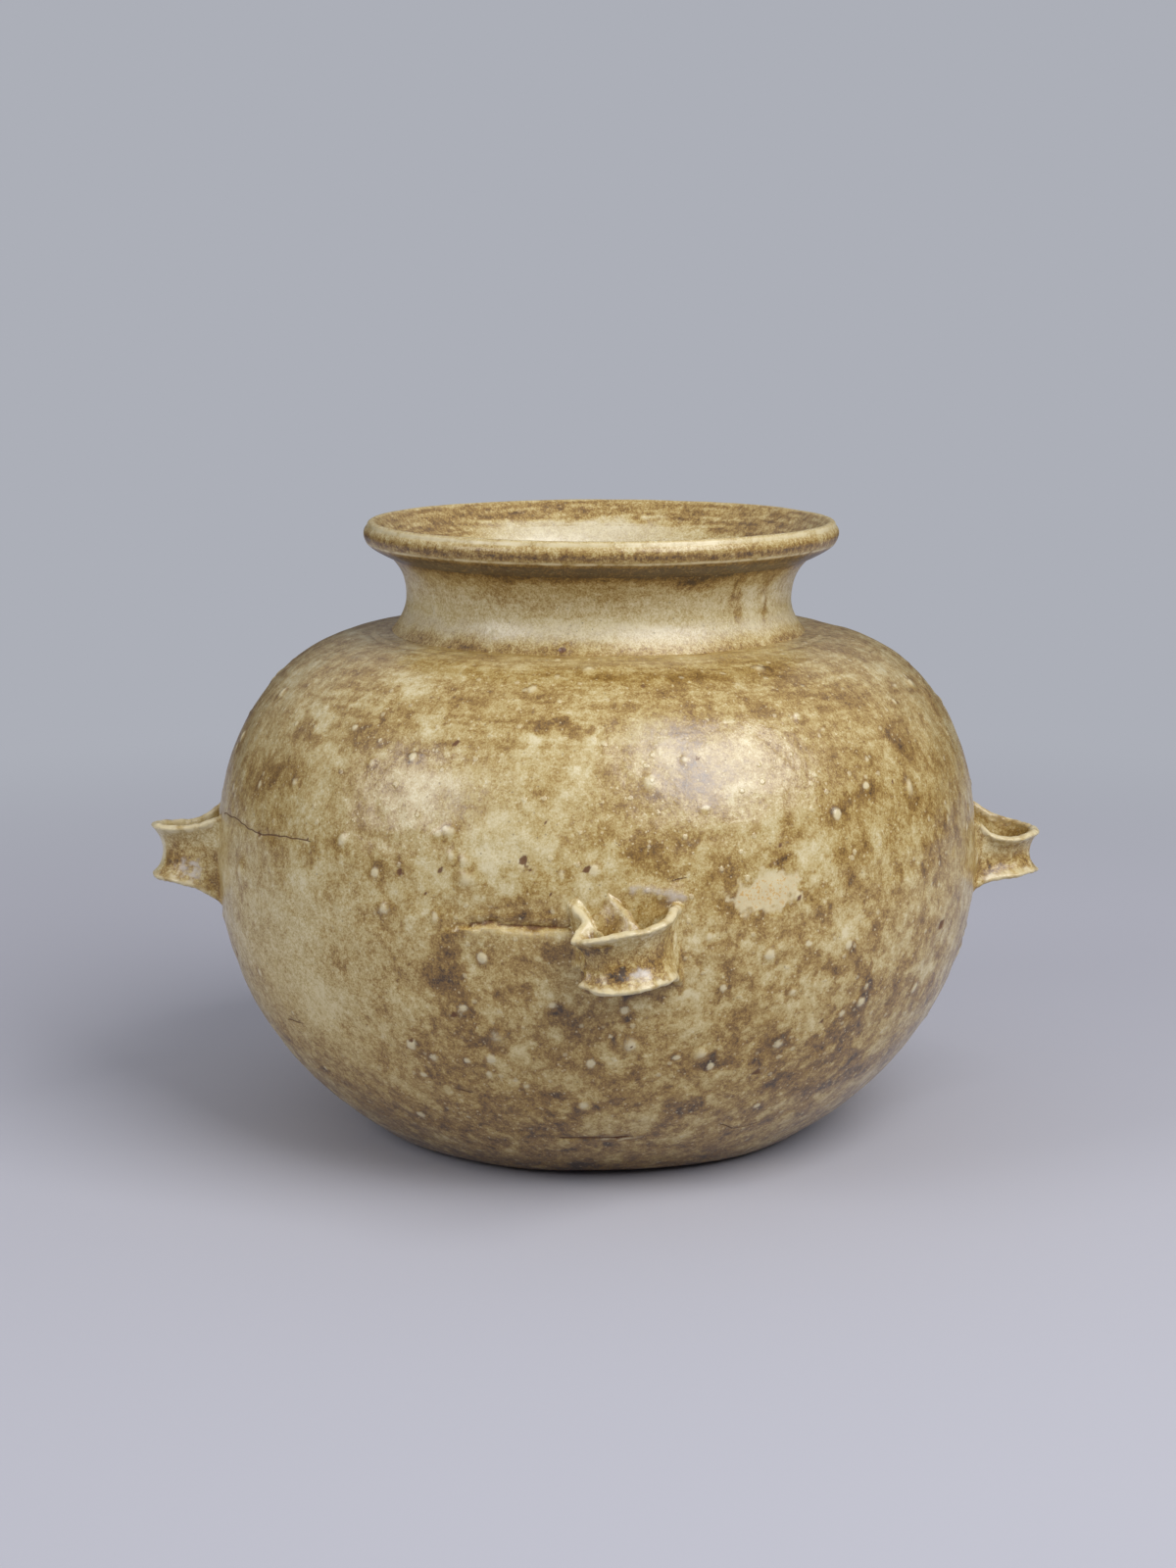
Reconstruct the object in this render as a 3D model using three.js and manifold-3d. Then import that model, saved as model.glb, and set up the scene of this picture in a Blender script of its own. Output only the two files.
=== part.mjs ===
// Round jar with four strap lugs, thrown in pieces and luted together.
// Millimetres, +Z up, the flat base on z = 0, the front lug towards -Y.
import * as THREE from "three";
import { mergeVertices } from "three/addons/utils/BufferGeometryUtils.js";
import Module from "manifold-3d";

const wasm = await Module();
wasm.setup();

// Body: a ball that is a little flattened above and drawn in below
const bodyRadius = 125.2;
const bellyHeight = 88.5;
const shoulderHeight = 74.7;
const seamRise = 2.7;
const baseRadius = 71.2;
const baseThickness = 7;
const heelInset = 7;
const heelRise = 2.8;
const bodyWall = 6;

// How full the body's curves are: 0 gives a straight cone, 1 a square corner
const shoulderRise = 0.457;
const shoulderSpread = 0.766;
const bellyDrop = 0.27;
const flankRise = 0.278;
const flankLean = 1.692;

// Neck and rolled rim
const neckFootRadius = 67.5;
const neckWaistRadius = 62.7;
const neckHeight = 24;
const neckWaistRise = 10.8;
const neckTopRadius = 68;
const neckWall = 5;
const footFlare = 1.9;
const footSpring = 2.2;
const waistDrop = 4.3;
const waistReach = 7.2;
const topFlare = 2.4;
const rimHeight = 11.9;
const rollRadius = 77.2;
const ridgeRadius = 76;
const ridgeRise = 4.7;
const lipRadius = 74.6;
const lipRound = 1.6;
const bevelRise = 3.6;

// Incised line on the shoulder round the neck
const lineOffset = 6.4;
const lineWidth = 1.6;
const lineDepth = 0.6;

// Lugs: a clay strap bent into a loop, its outer face hollowed like a channel
const lugReach = 19;
const lugHalfWidth = 14;
const strapThickness = 2.2;
const channelDepth = 3;
const rootHalfHeight = 15.5;
const rootFlare = 3;
const rootSwell = 0.9;
const edgeThinning = 0.3;

// Each lug: where it stands, how its loop tilts, half its height on its left and right, seen from
// outside, and whether its left strand is knocked in
const lugs = [
  { name: "lug_front", turn: -86.9, lift: -1.9, tilt: 8.1, left: 7, right: 8.4, fold: true },
  { name: "lug_right", turn: -2.1, lift: 0.4, tilt: 0, left: 5.8, right: 8.8, fold: false },
  { name: "lug_back", turn: 94, lift: 0.3, tilt: 5, left: 8, right: 8.2, fold: false },
  { name: "lug_left", turn: 184.5, lift: 2.2, tilt: 5.7, left: 8, right: 8.2, fold: false },
];

// A strand's way from the wall to the middle of the loop, in shares: of the lug's reach, of its
// half width, and of the flare, the height and the fold that are left there
const strand = [
  { out: 0.06, aside: 1, flare: 0.4, root: 0.6, fold: 0.2 },
  { out: 0.32, aside: 1, flare: 0, root: 0.16, fold: 1 },
  { out: 0.68, aside: 0.88, flare: 0, root: 0, fold: -0.4 },
  { out: 0.94, aside: 0.5, flare: 0, root: 0, fold: 0 },
];

// The fold: how far its strand is knocked in, and the clay pushed in behind it, whose ridge runs
// out from the wall and whose far side slopes down towards the loop
const foldDepth = 4;
const foldRidge = [
  { out: -0.1, inward: -2, rise: 13.8 },
  { out: 0.3, inward: 3.8, rise: 9 },
  { out: 0.52, inward: 6.4, rise: 7.2 },
];
const foldFoot = 9.2;
const foldDrop = 6.5;
const foldUnder = 6;

// Slip gap between luted pieces, and how finely curves are cut
const slipGap = 0.3;
const roundSteps = 60;
const strapSteps = 29;
const strapRows = 6;

const bodyHeight = bellyHeight + shoulderHeight;
const seamHeight = bellyHeight + seamRise;
const neckTop = bodyHeight + neckHeight;
const jarHeight = neckTop + rimHeight;

// Materials
const glaze = new THREE.MeshStandardMaterial({
  color: new THREE.Color(0.52, 0.44, 0.26),
  roughness: 0.3,
  metalness: 0,
});
const bareClay = new THREE.MeshStandardMaterial({
  color: new THREE.Color(0.42, 0.31, 0.21),
  roughness: 0.9,
  metalness: 0,
});

const point = (r, z) => new THREE.Vector2(r, z);

// Outer face of the body from the base up to the neck, as one curve of share 0 to 1
const flank = new THREE.CubicBezierCurve(
  point(baseRadius, 0),
  point(baseRadius + flankLean * flankRise * bellyHeight, flankRise * bellyHeight),
  point(bodyRadius, bellyHeight * (1 - bellyDrop)),
  point(bodyRadius, bellyHeight),
);
const shoulder = new THREE.CubicBezierCurve(
  point(bodyRadius, bellyHeight),
  point(bodyRadius, bellyHeight + shoulderRise * (bodyHeight - bellyHeight)),
  point(neckFootRadius + shoulderSpread * (bodyRadius - neckFootRadius), bodyHeight),
  point(neckFootRadius, bodyHeight),
);
const bodyFace = inTwo(flank, shoulder);

// Outer face of the neck: in from its foot to the waist, then out to the rim
const waistHeight = bodyHeight + neckWaistRise;
const neckFoot = new THREE.CubicBezierCurve(
  point(neckFootRadius, bodyHeight),
  point(neckFootRadius - footFlare, bodyHeight + footSpring),
  point(neckWaistRadius, waistHeight - waistDrop),
  point(neckWaistRadius, waistHeight),
);
const neckFlare = new THREE.CubicBezierCurve(
  point(neckWaistRadius, waistHeight),
  point(neckWaistRadius, waistHeight + waistReach),
  point(neckTopRadius - topFlare, neckTop - topFlare),
  point(neckTopRadius, neckTop),
);
const neckFace = inTwo(neckFoot, neckFlare);

function inTwo(low, high) {
  const half = (t) => (t < 0.5 ? [low, t * 2] : [high, t * 2 - 1]);
  return {
    at(t) {
      const [curve, u] = half(t);
      return curve.getPoint(u);
    },
    inward(t) {
      const [curve, u] = half(t);
      const along = curve.getTangent(u);
      return point(-along.y, along.x);
    },
  };
}

// The same face set in by a wall, and the share at which a face passes a height or radius
function inset(face, wall) {
  return { at: (t) => face.at(t).addScaledVector(face.inward(t), wall) };
}

function shareAt(face, key, value, from, to) {
  let a = from;
  let b = to;
  const rising = face.at(b)[key] > face.at(a)[key];
  for (let i = 0; i < 40; i += 1) {
    const middle = (a + b) / 2;
    if (face.at(middle)[key] < value === rising) a = middle;
    else b = middle;
  }
  return (a + b) / 2;
}

function stretch(face, from, to, steps) {
  const points = [];
  for (let i = 0; i <= steps; i += 1) {
    points.push(face.at(from + ((to - from) * i) / steps));
  }
  return points;
}

// A ring or disc turned about Z from a profile that closes on itself or ends on the axis
function turned(profile, steps) {
  const points = profile.map((p) => p.clone());
  const onAxis = points[0].x === 0 && points[points.length - 1].x === 0;
  if (!onAxis) points.push(points[0].clone());
  return new THREE.LatheGeometry(points, steps).rotateX(Math.PI / 2);
}

function solid(geometry) {
  const bare = geometry.clone();
  bare.deleteAttribute("normal");
  bare.deleteAttribute("uv");
  const merged = mergeVertices(bare, 1e-4);
  return new wasm.Manifold(
    new wasm.Mesh({
      numProp: 3,
      vertProperties: new Float32Array(merged.attributes.position.array),
      triVerts: new Uint32Array(merged.index.array),
    }),
  );
}

function geometryOf(made) {
  const mesh = made.getMesh();
  const geometry = new THREE.BufferGeometry();
  geometry.setAttribute("position", new THREE.BufferAttribute(mesh.vertProperties, 3));
  geometry.setIndex(new THREE.BufferAttribute(mesh.triVerts, 1));
  return geometry;
}

// Flat disc that the wall was raised on, its edge already part of the flank
function baseDisc() {
  const heelEnd = shareAt(bodyFace, "y", heelRise, 0, 0.5);
  const heel = new THREE.QuadraticBezierCurve(
    point(baseRadius - heelInset, 0),
    point(baseRadius, 0),
    bodyFace.at(heelEnd),
  );
  const top = shareAt(bodyFace, "y", baseThickness, 0, 0.5);
  const edge = stretch(bodyFace, heelEnd, top, 2).slice(1);
  return turned([point(0, 0), ...heel.getPoints(3), ...edge, point(0, baseThickness)], roundSteps);
}

// Lower half of the body, from the disc to the luted seam at the belly
function lowerBody() {
  const foot = baseThickness + slipGap;
  const inner = inset(bodyFace, bodyWall);
  const outerFrom = shareAt(bodyFace, "y", foot, 0, 0.5);
  const outerTo = shareAt(bodyFace, "y", seamHeight, 0, 1);
  const innerFrom = shareAt(inner, "y", foot, 0, 0.5);
  const innerTo = shareAt(inner, "y", seamHeight, 0, 1);
  const outside = stretch(bodyFace, outerFrom, outerTo, 12);
  const inside = stretch(inner, innerFrom, innerTo, 10);
  return turned([...outside, ...inside.reverse()], roundSteps);
}

// Upper half of the body with the incised line and the seat of the neck
function upperBody() {
  const foot = seamHeight + slipGap;
  const seat = bodyHeight - slipGap;
  const mouth = neckFootRadius - neckWall;
  const inner = inset(bodyFace, bodyWall);
  const outerFrom = shareAt(bodyFace, "y", foot, 0, 1);
  const lineFar = shareAt(bodyFace, "x", neckFootRadius + lineOffset + lineWidth, 0.5, 1);
  const lineNear = shareAt(bodyFace, "x", neckFootRadius + lineOffset, 0.5, 1);
  const innerFrom = shareAt(inner, "y", foot, 0, 1);
  const innerTo = shareAt(inner, "x", mouth, 0.5, 1);
  const outside = stretch(bodyFace, outerFrom, lineFar, 13);
  const groove = bodyFace.at((lineFar + lineNear) / 2);
  const bottom = groove.addScaledVector(bodyFace.inward(lineNear), lineDepth);
  const land = bodyFace.at(lineNear);
  const seatEdge = point(neckFootRadius + slipGap, seat);
  const inside = stretch(inner, innerFrom, innerTo, 11);
  const profile = [...outside, bottom, land, seatEdge, point(mouth, seat), ...inside.reverse()];
  return turned(profile, roundSteps);
}

// Thrown collar, narrowest below its middle
function neck() {
  const inner = inset(neckFace, neckWall);
  const outerTo = shareAt(neckFace, "y", neckTop, 0, 1);
  const innerFrom = shareAt(inner, "y", bodyHeight, 0, 0.5);
  const innerTo = shareAt(inner, "y", neckTop, 0.5, 1);
  const outside = stretch(neckFace, 0, outerTo, 8);
  const inside = stretch(inner, innerFrom, innerTo, 7);
  return turned([...outside, ...inside.reverse()], roundSteps);
}

// Lip turned out and down into a flat-faced roll, with a sloping face inside
function rim() {
  const foot = neckTop + slipGap;
  const ridge = neckTop + ridgeRise;
  const inner = inset(neckFace, neckWall);
  const innerFoot = inner.at(shareAt(inner, "y", neckTop, 0.5, 1)).x;
  const roll = new THREE.QuadraticBezierCurve(
    point(ridgeRadius, ridge),
    point(rollRadius * 2 - (ridgeRadius + lipRadius + lipRound) / 2, (ridge + jarHeight) / 2),
    point(lipRadius + lipRound, jarHeight - lipRound),
  );
  const lip = new THREE.QuadraticBezierCurve(
    point(lipRadius + lipRound, jarHeight - lipRound),
    point(lipRadius + lipRound, jarHeight),
    point(lipRadius, jarHeight),
  );
  const bevel = new THREE.QuadraticBezierCurve(
    point(lipRadius - lipRound, jarHeight),
    point(innerFoot + bevelRise, foot + bevelRise),
    point(innerFoot, foot),
  );
  const outside = [point(neckTopRadius + slipGap, foot), ...roll.getPoints(4)];
  const top = lip.getPoints(3).slice(1);
  return turned([...outside, ...top, ...bevel.getPoints(5)], roundSteps);
}

// One strand from its root to the loop: distance out, distance aside and half its height
function strandCorners(height, folded) {
  const buried = bodyRadius - bodyWall + strapThickness;
  const corners = [[buried, lugHalfWidth + rootFlare, rootHalfHeight]];
  for (const place of strand) {
    const knocked = folded ? foldDepth * place.fold : 0;
    corners.push([
      bodyRadius + lugReach * place.out,
      lugHalfWidth * place.aside + rootFlare * place.flare - knocked,
      THREE.MathUtils.lerp(height, rootHalfHeight, place.root),
    ]);
  }
  return corners;
}

// Plan of the strap's middle, with half its height, from the left root round to the right one
function strapPlan(lug) {
  const left = strandCorners(lug.left, lug.fold).map(([u, v, half]) => [u, -v, half]);
  const right = strandCorners(lug.right, false).reverse();
  const middle = [bodyRadius + lugReach, 0, (lug.left + lug.right) / 2];
  const corners = [...left, middle, ...right];
  return new THREE.CatmullRomCurve3(corners.map((c) => new THREE.Vector3(...c)));
}

// One strap as a closed skin: rings of points across it, joined along its length
function strap(lug) {
  const path = strapPlan(lug);
  const along = strapSteps;
  const across = strapRows;
  const slope = Math.tan(THREE.MathUtils.degToRad(lug.tilt));
  const ringSize = 2 * (across + 1);
  const vertices = [];
  for (let i = 0; i <= along; i += 1) {
    const share = i / along;
    const middle = path.getPoint(share);
    const ahead = path.getTangent(share);
    const inward = new THREE.Vector2(-ahead.y, ahead.x).normalize();
    const out = THREE.MathUtils.clamp((middle.x - bodyRadius) / lugReach, 0, 1);
    const free = Math.min(1, out * 2);
    const hollow = channelDepth * free;
    const swell = 1 + rootSwell * (1 - out) ** 4;
    for (let j = 0; j < ringSize; j += 1) {
      const outer = j <= across;
      const rise = ((outer ? j : ringSize - 1 - j) / across) * 2 - 1;
      const half = (strapThickness / 2) * swell * (1 - edgeThinning * rise ** 4);
      const set = hollow * (1 - rise ** 2) + (outer ? -half : half);
      const u = middle.x + inward.x * set;
      const v = middle.y + inward.y * set;
      vertices.push(u, v, rise * middle.z + slope * v * free);
    }
  }
  const faces = [];
  for (let i = 0; i < along; i += 1) {
    for (let j = 0; j < ringSize; j += 1) {
      const a = i * ringSize + j;
      const b = i * ringSize + ((j + 1) % ringSize);
      faces.push(a, a + ringSize, b, b, a + ringSize, b + ringSize);
    }
  }
  for (let j = 0; j < across; j += 1) {
    const a = j;
    const b = j + 1;
    const c = ringSize - 2 - j;
    const d = ringSize - 1 - j;
    const last = along * ringSize;
    faces.push(a, b, d, d, b, c);
    faces.push(last + a, last + d, last + b, last + d, last + c, last + b);
  }
  const geometry = new THREE.BufferGeometry();
  geometry.setAttribute("position", new THREE.Float32BufferAttribute(vertices, 3));
  geometry.setIndex(faces);
  return solid(geometry);
}

// The clay behind the folded strand: slices across its ridge, joined from each to the next
function foldedClay() {
  const foot = foldFoot - lugHalfWidth;
  const slices = foldRidge.map(({ out, inward, rise }) => {
    const u = bodyRadius + lugReach * out;
    const crest = inward - lugHalfWidth;
    return [
      [u, crest, rise],
      [u, foot, rise - foldDrop],
      [u, foot, -foldUnder],
      [u, crest, -foldUnder],
    ];
  });
  const spans = slices.slice(1).map((slice, i) => wasm.Manifold.hull([...slices[i], ...slice]));
  return wasm.Manifold.union(spans);
}

// A strap in its place, its roots trimmed to the wall
function lugOf(lug, cutter) {
  const clay = lug.fold ? strap(lug).add(foldedClay()) : strap(lug);
  const placed = clay.rotate([0, 0, lug.turn]).translate([0, 0, bellyHeight + lug.lift]);
  return geometryOf(placed.subtract(cutter));
}

// The whole body grown by the slip gap, which trims the roots of the straps
function bodyCutter() {
  const grown = inset(bodyFace, -slipGap);
  const outside = stretch(grown, 0, 1, 25);
  const foot = outside[0].y;
  const top = outside[outside.length - 1].y;
  return solid(turned([point(0, foot), ...outside, point(0, top)], roundSteps));
}

const jar = new THREE.Group();

function place(name, geometry, material) {
  const mesh = new THREE.Mesh(geometry, material);
  mesh.name = name;
  jar.add(mesh);
}

place("base_disc", baseDisc(), bareClay);
place("lower_body", lowerBody(), glaze);
place("upper_body", upperBody(), glaze);
place("neck", neck(), glaze);
place("rim", rim(), glaze);
const cutter = bodyCutter();
for (const lug of lugs) place(lug.name, lugOf(lug, cutter), glaze);

export default jar;
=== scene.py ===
import math

import bpy
import numpy as np
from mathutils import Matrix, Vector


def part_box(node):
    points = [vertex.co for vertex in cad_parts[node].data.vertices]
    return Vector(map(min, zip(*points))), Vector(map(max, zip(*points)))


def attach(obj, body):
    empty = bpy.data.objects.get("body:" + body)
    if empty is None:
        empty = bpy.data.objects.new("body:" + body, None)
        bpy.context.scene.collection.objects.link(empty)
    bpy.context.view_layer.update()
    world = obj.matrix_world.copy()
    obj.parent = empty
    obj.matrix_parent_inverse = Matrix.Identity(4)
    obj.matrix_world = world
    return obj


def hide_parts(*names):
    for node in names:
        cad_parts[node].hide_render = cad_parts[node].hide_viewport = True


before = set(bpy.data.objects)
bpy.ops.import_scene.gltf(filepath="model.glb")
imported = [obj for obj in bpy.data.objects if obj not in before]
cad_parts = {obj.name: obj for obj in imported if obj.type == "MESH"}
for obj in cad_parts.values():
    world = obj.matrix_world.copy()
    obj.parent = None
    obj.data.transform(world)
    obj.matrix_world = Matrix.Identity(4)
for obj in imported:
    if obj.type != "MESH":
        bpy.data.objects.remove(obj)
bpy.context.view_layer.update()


# Base disc. The flat round of coarse stoneware clay that the wall was raised on. It was cut off
# the wheel, so its underside is bare, dry and scored; the glaze runs down its rounded heel and
# stops in a thin red-brown line just above the floor.

MM = 0.001


def foot_and_top(node):
    """The heights, in millimetres, that a solid of the frame reaches from and to."""
    low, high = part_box(node)
    return low[2] / MM, high[2] / MM


# The jar's outline in millimetres: heights from the frame, radii and walls as the solids have them
BASE_RADIUS = 71.2
BASE_THICKNESS = foot_and_top("base_disc")[1]
HEEL_INSET = 7.0
HEEL_RISE = 2.8
BELLY_RADIUS = 125.2
BELLY_HEIGHT = 88.5
SEAM_HEIGHT = foot_and_top("lower_body")[1]
BODY_WALL = 6.0
NECK_FOOT_RADIUS = 67.5
NECK_WAIST_RADIUS = 62.7
NECK_TOP_RADIUS = 68.0
BODY_HEIGHT, NECK_TOP = foot_and_top("neck")
NECK_WAIST_HEIGHT = BODY_HEIGHT + 10.8
NECK_WALL = 5.0
RIDGE_RADIUS = 76.0
RIDGE_HEIGHT = NECK_TOP + 4.7
LIP_OUTER_RADIUS = 76.2
LIP_INNER_RADIUS = 73.0
LIP_ROUND = 1.6
ROLL_REACH = 78.3
JAR_HEIGHT = foot_and_top("rim")[1]
# How far the middle corners of the outline's curves stand off from their ends
FLANK_SPREAD = 41.6
FLANK_RISE = 24.6
BELLY_DROP = 23.9
SHOULDER_RISE = 34.1
SHOULDER_SPREAD = 44.2
FOOT_FLARE = 1.9
FOOT_SPRING = 2.2
WAIST_DROP = 4.3
WAIST_REACH = 7.2
TOP_FLARE = 2.4
RIM_FLARE = 2.2
LIP_SLANT = 0.2
BEVEL_SPREAD = 6.5
BEVEL_RISE = 5.5


def bend(*corners):
    """Points along a Bezier curve through its corners, as radius and height."""
    share = np.linspace(0, 1, 240)[:, None]
    level = [np.array(corner, float) for corner in corners]
    while len(level) > 1:
        level = [a * (1 - share) + b * share for a, b in zip(level, level[1:])]
    return level[0]


def inset(curve, wall):
    """The same curve set in by a wall, on its left hand."""
    along = np.gradient(curve, axis=0)
    along /= np.linalg.norm(along, axis=1)[:, None]
    return curve + wall * np.stack([-along[:, 1], along[:, 0]], 1)


flank = bend(
    (BASE_RADIUS, 0),
    (BASE_RADIUS + FLANK_SPREAD, FLANK_RISE),
    (BELLY_RADIUS, BELLY_HEIGHT - BELLY_DROP),
    (BELLY_RADIUS, BELLY_HEIGHT),
)
shoulder = bend(
    (BELLY_RADIUS, BELLY_HEIGHT),
    (BELLY_RADIUS, BELLY_HEIGHT + SHOULDER_RISE),
    (NECK_FOOT_RADIUS + SHOULDER_SPREAD, BODY_HEIGHT),
    (NECK_FOOT_RADIUS, BODY_HEIGHT),
)
neck_foot = bend(
    (NECK_FOOT_RADIUS, BODY_HEIGHT),
    (NECK_FOOT_RADIUS - FOOT_FLARE, BODY_HEIGHT + FOOT_SPRING),
    (NECK_WAIST_RADIUS, NECK_WAIST_HEIGHT - WAIST_DROP),
    (NECK_WAIST_RADIUS, NECK_WAIST_HEIGHT),
)
neck_flare = bend(
    (NECK_WAIST_RADIUS, NECK_WAIST_HEIGHT),
    (NECK_WAIST_RADIUS, NECK_WAIST_HEIGHT + WAIST_REACH),
    (NECK_TOP_RADIUS - TOP_FLARE, NECK_TOP - TOP_FLARE),
    (NECK_TOP_RADIUS, NECK_TOP),
)
body_face = np.vstack([flank, shoulder[1:]])
neck_face = np.vstack([neck_foot, neck_flare[1:]])
body_inside = inset(body_face, BODY_WALL)
neck_inside = inset(neck_face, NECK_WALL)
heel_top = flank[np.searchsorted(flank[:, 1], HEEL_RISE)]
heel = bend((BASE_RADIUS - HEEL_INSET, 0), (BASE_RADIUS, 0), heel_top)
mouth_edge = neck_inside[-1]
under_rim = bend(
    (NECK_TOP_RADIUS, NECK_TOP),
    (RIDGE_RADIUS - RIM_FLARE, RIDGE_HEIGHT - RIM_FLARE),
    (RIDGE_RADIUS, RIDGE_HEIGHT),
)
roll = bend(
    (RIDGE_RADIUS, RIDGE_HEIGHT),
    (ROLL_REACH, (RIDGE_HEIGHT + JAR_HEIGHT) / 2),
    (LIP_OUTER_RADIUS, JAR_HEIGHT - LIP_ROUND),
)
lip = bend(
    (LIP_OUTER_RADIUS, JAR_HEIGHT - LIP_ROUND),
    (LIP_OUTER_RADIUS - LIP_SLANT, JAR_HEIGHT),
    (LIP_INNER_RADIUS + LIP_ROUND, JAR_HEIGHT),
)
bevel = bend(
    (LIP_INNER_RADIUS + LIP_ROUND, JAR_HEIGHT),
    (LIP_INNER_RADIUS, JAR_HEIGHT),
    (mouth_edge[0] + BEVEL_SPREAD, mouth_edge[1] + BEVEL_RISE),
    mouth_edge,
)


def part_of(curve, low, high):
    """The points of a rising curve between two heights, ends included."""
    inner = curve[(curve[:, 1] > low) & (curve[:, 1] < high)]
    ends = [(np.interp(h, curve[:, 1], curve[:, 0]), h) for h in (low, high)]
    return np.vstack([ends[:1], inner, ends[1:]])


inner_body = body_inside[body_inside[:, 0] > NECK_FOOT_RADIUS - NECK_WALL]
inner_neck = part_of(neck_inside, BODY_HEIGHT, mouth_edge[1])
inner_shoulder = part_of(inner_body, SEAM_HEIGHT, inner_body[-1, 1])
inner_flank = part_of(body_inside, BASE_THICKNESS, SEAM_HEIGHT)
# The whole outline, up the outside and down the inside: each stretch and its rows of mesh
stretches = {
    "underside": (np.array([(0, 0), (BASE_RADIUS - HEEL_INSET, 0)], float), 34),
    "heel": (np.vstack([heel, part_of(flank, heel_top[1] + 0.02, BASE_THICKNESS)]), 12),
    "lower_outside": (part_of(body_face, BASE_THICKNESS, SEAM_HEIGHT), 114),
    "upper_outside": (part_of(body_face, SEAM_HEIGHT, BODY_HEIGHT), 106),
    "neck_outside": (neck_face, 52),
    "rim_all": (np.vstack([under_rim, roll[1:], lip[1:], bevel[1:]]), 84),
    "neck_inside": (inner_neck[::-1], 26),
    "upper_inside": (np.vstack([inner_neck[:1], inner_shoulder[::-1]]), 24),
    "lower_inside": (inner_flank[::-1], 22),
    "floor": (np.array([inner_flank[0], (0, BASE_THICKNESS)]), 24),
}
outline = np.vstack([curve for curve, rows in stretches.values()])


def run_along(curve):
    """How far along a curve each of its points is."""
    return np.concatenate([[0], np.cumsum(np.linalg.norm(np.diff(curve, axis=0), axis=1))])


run_at = run_along(outline)
run_start, passed = {}, 0
for name, (curve, rows) in stretches.items():
    run_start[name] = run_at[passed]
    passed += len(curve)
run_end = dict(zip(stretches, [*list(run_start.values())[1:], run_at[-1]]))
keep = np.concatenate([[True], np.diff(run_at) > 1e-6])
outline, run_at = outline[keep], run_at[keep]
facing = np.gradient(outline, run_at, axis=0)
facing = np.stack([facing[:, 1], -facing[:, 0]], 1)
facing /= np.linalg.norm(facing, axis=1)[:, None]

COLUMNS = 700
CLOSER_IN_FRONT = 1.2


def column_turns():
    """Turns of the mesh's columns, closest together on the side with the most marks."""
    turns = np.linspace(-math.pi, math.pi, 4001)
    closeness = 1 + CLOSER_IN_FRONT * (0.5 - 0.5 * np.sin(turns)) ** 1.5
    total = np.concatenate([[0], np.cumsum((closeness[1:] + closeness[:-1]) / 2)])
    return np.interp(np.arange(COLUMNS) / COLUMNS, total / total[-1], turns)


def lean(height):
    """How far the thrown wall stands off its axis, towards +X, at a height."""
    return np.interp(height, [0, 60, 120, 175, 200], [-1.1, -0.6, 0.0, 0.6, 1.4])


def lumps(points, size, seed, count=22):
    """A smooth random height at each point, about -1 to 1, with lumps of about that size."""
    draw = np.random.default_rng(seed)
    waves = draw.normal(size=(count, points.shape[-1]))
    waves /= np.linalg.norm(waves, axis=1)[:, None]
    waves *= (2 * math.pi / size) * draw.uniform(0.6, 1.5, count)[:, None]
    starts = draw.uniform(0, 2 * math.pi, count)
    total = np.zeros(points.shape[:-1])
    for wave, start in zip(waves, starts):
        total += np.sin(points @ wave + start)
    return total / math.sqrt(count)


def swung(turn, place):
    """How far round, in radians, turns are from a place in degrees, the short way."""
    return (turn - math.radians(place) + math.pi) % (2 * math.pi) - math.pi


# What lies on the clay at each point, with painted sheen, glints and shade among them. The glaze reads each
# of them by its name
LAYERS = ("tone", "calm", "pale", "dark", "rust", "milk", "crack", "split", "scar", "bare")


class Sheet:
    """A stretch of the wall's face as rows and columns of points, with what lies on it."""

    def __init__(self, name):
        run = np.linspace(run_start[name], run_end[name], stretches[name][1] + 1)
        self.turn, self.run = np.meshgrid(column_turns(), run)
        self.radius, self.height = (np.interp(self.run, run_at, outline[:, k]) for k in (0, 1))
        self.out, self.up = (np.interp(self.run, run_at, facing[:, k]) for k in (0, 1))
        across, deep = np.cos(self.turn) * self.radius, np.sin(self.turn) * self.radius
        self.points = np.stack([across, deep, self.height], -1)
        self.relief = np.zeros_like(self.turn)
        self.layers = {layer: np.zeros_like(self.turn) for layer in LAYERS}

    def lumps(self, size, seed):
        return lumps(self.points, size, seed)

    def away(self, turn, height):
        """Distances across and up the outer face from a spot, in millimetres."""
        return swung(self.turn, turn) * self.radius, self.run - run_of(height)

    def reach(self, turn, height, wide, tall, torn=0):
        """The square of the distance from a mark's middle, 1 at its edge, which may be torn."""
        over, up = self.away(turn, height)
        return ((over + torn) / wide) ** 2 + ((up + torn) / tall) ** 2

    def placed(self):
        """The points moved along the face's own normal by the relief, in metres."""
        out = self.radius + self.relief * self.out
        height = np.maximum(self.height + self.relief * self.up, 0)
        across = np.cos(self.turn) * out + lean(height)
        deep = np.sin(self.turn) * out
        return np.stack([across, deep, height], -1) * MM


def throwing(sheet, depth):
    """The potter's fingers: faint rings up the wall, and a ring that isn't quite round."""
    turn, run = sheet.turn, sheet.run
    rings = np.stack([run, np.cos(turn) * 5, np.sin(turn) * 5], -1)
    uneven = 0.22 * sheet.lumps(70, 13) + 0.10 * sheet.lumps(24, 14) + 0.045 * sheet.lumps(8, 15)
    sheet.relief += depth * (0.04 * lumps(rings, 9, 11) + uneven)


outer_runs = (run_at > run_start["heel"]) & (run_at < run_end["neck_outside"])


def run_of(height):
    """How far along the outline the outer face reaches a height."""
    return np.interp(height, outline[outer_runs, 1], run_at[outer_runs])


# The heights that marks lie between, and the turns between which they were picked out one by one
MARKED_FROM, MARKED_TO = 12, 160
PICKED_FROM, PICKED_TO = -160, -20
LEFT_OUT = 0.85


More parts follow.
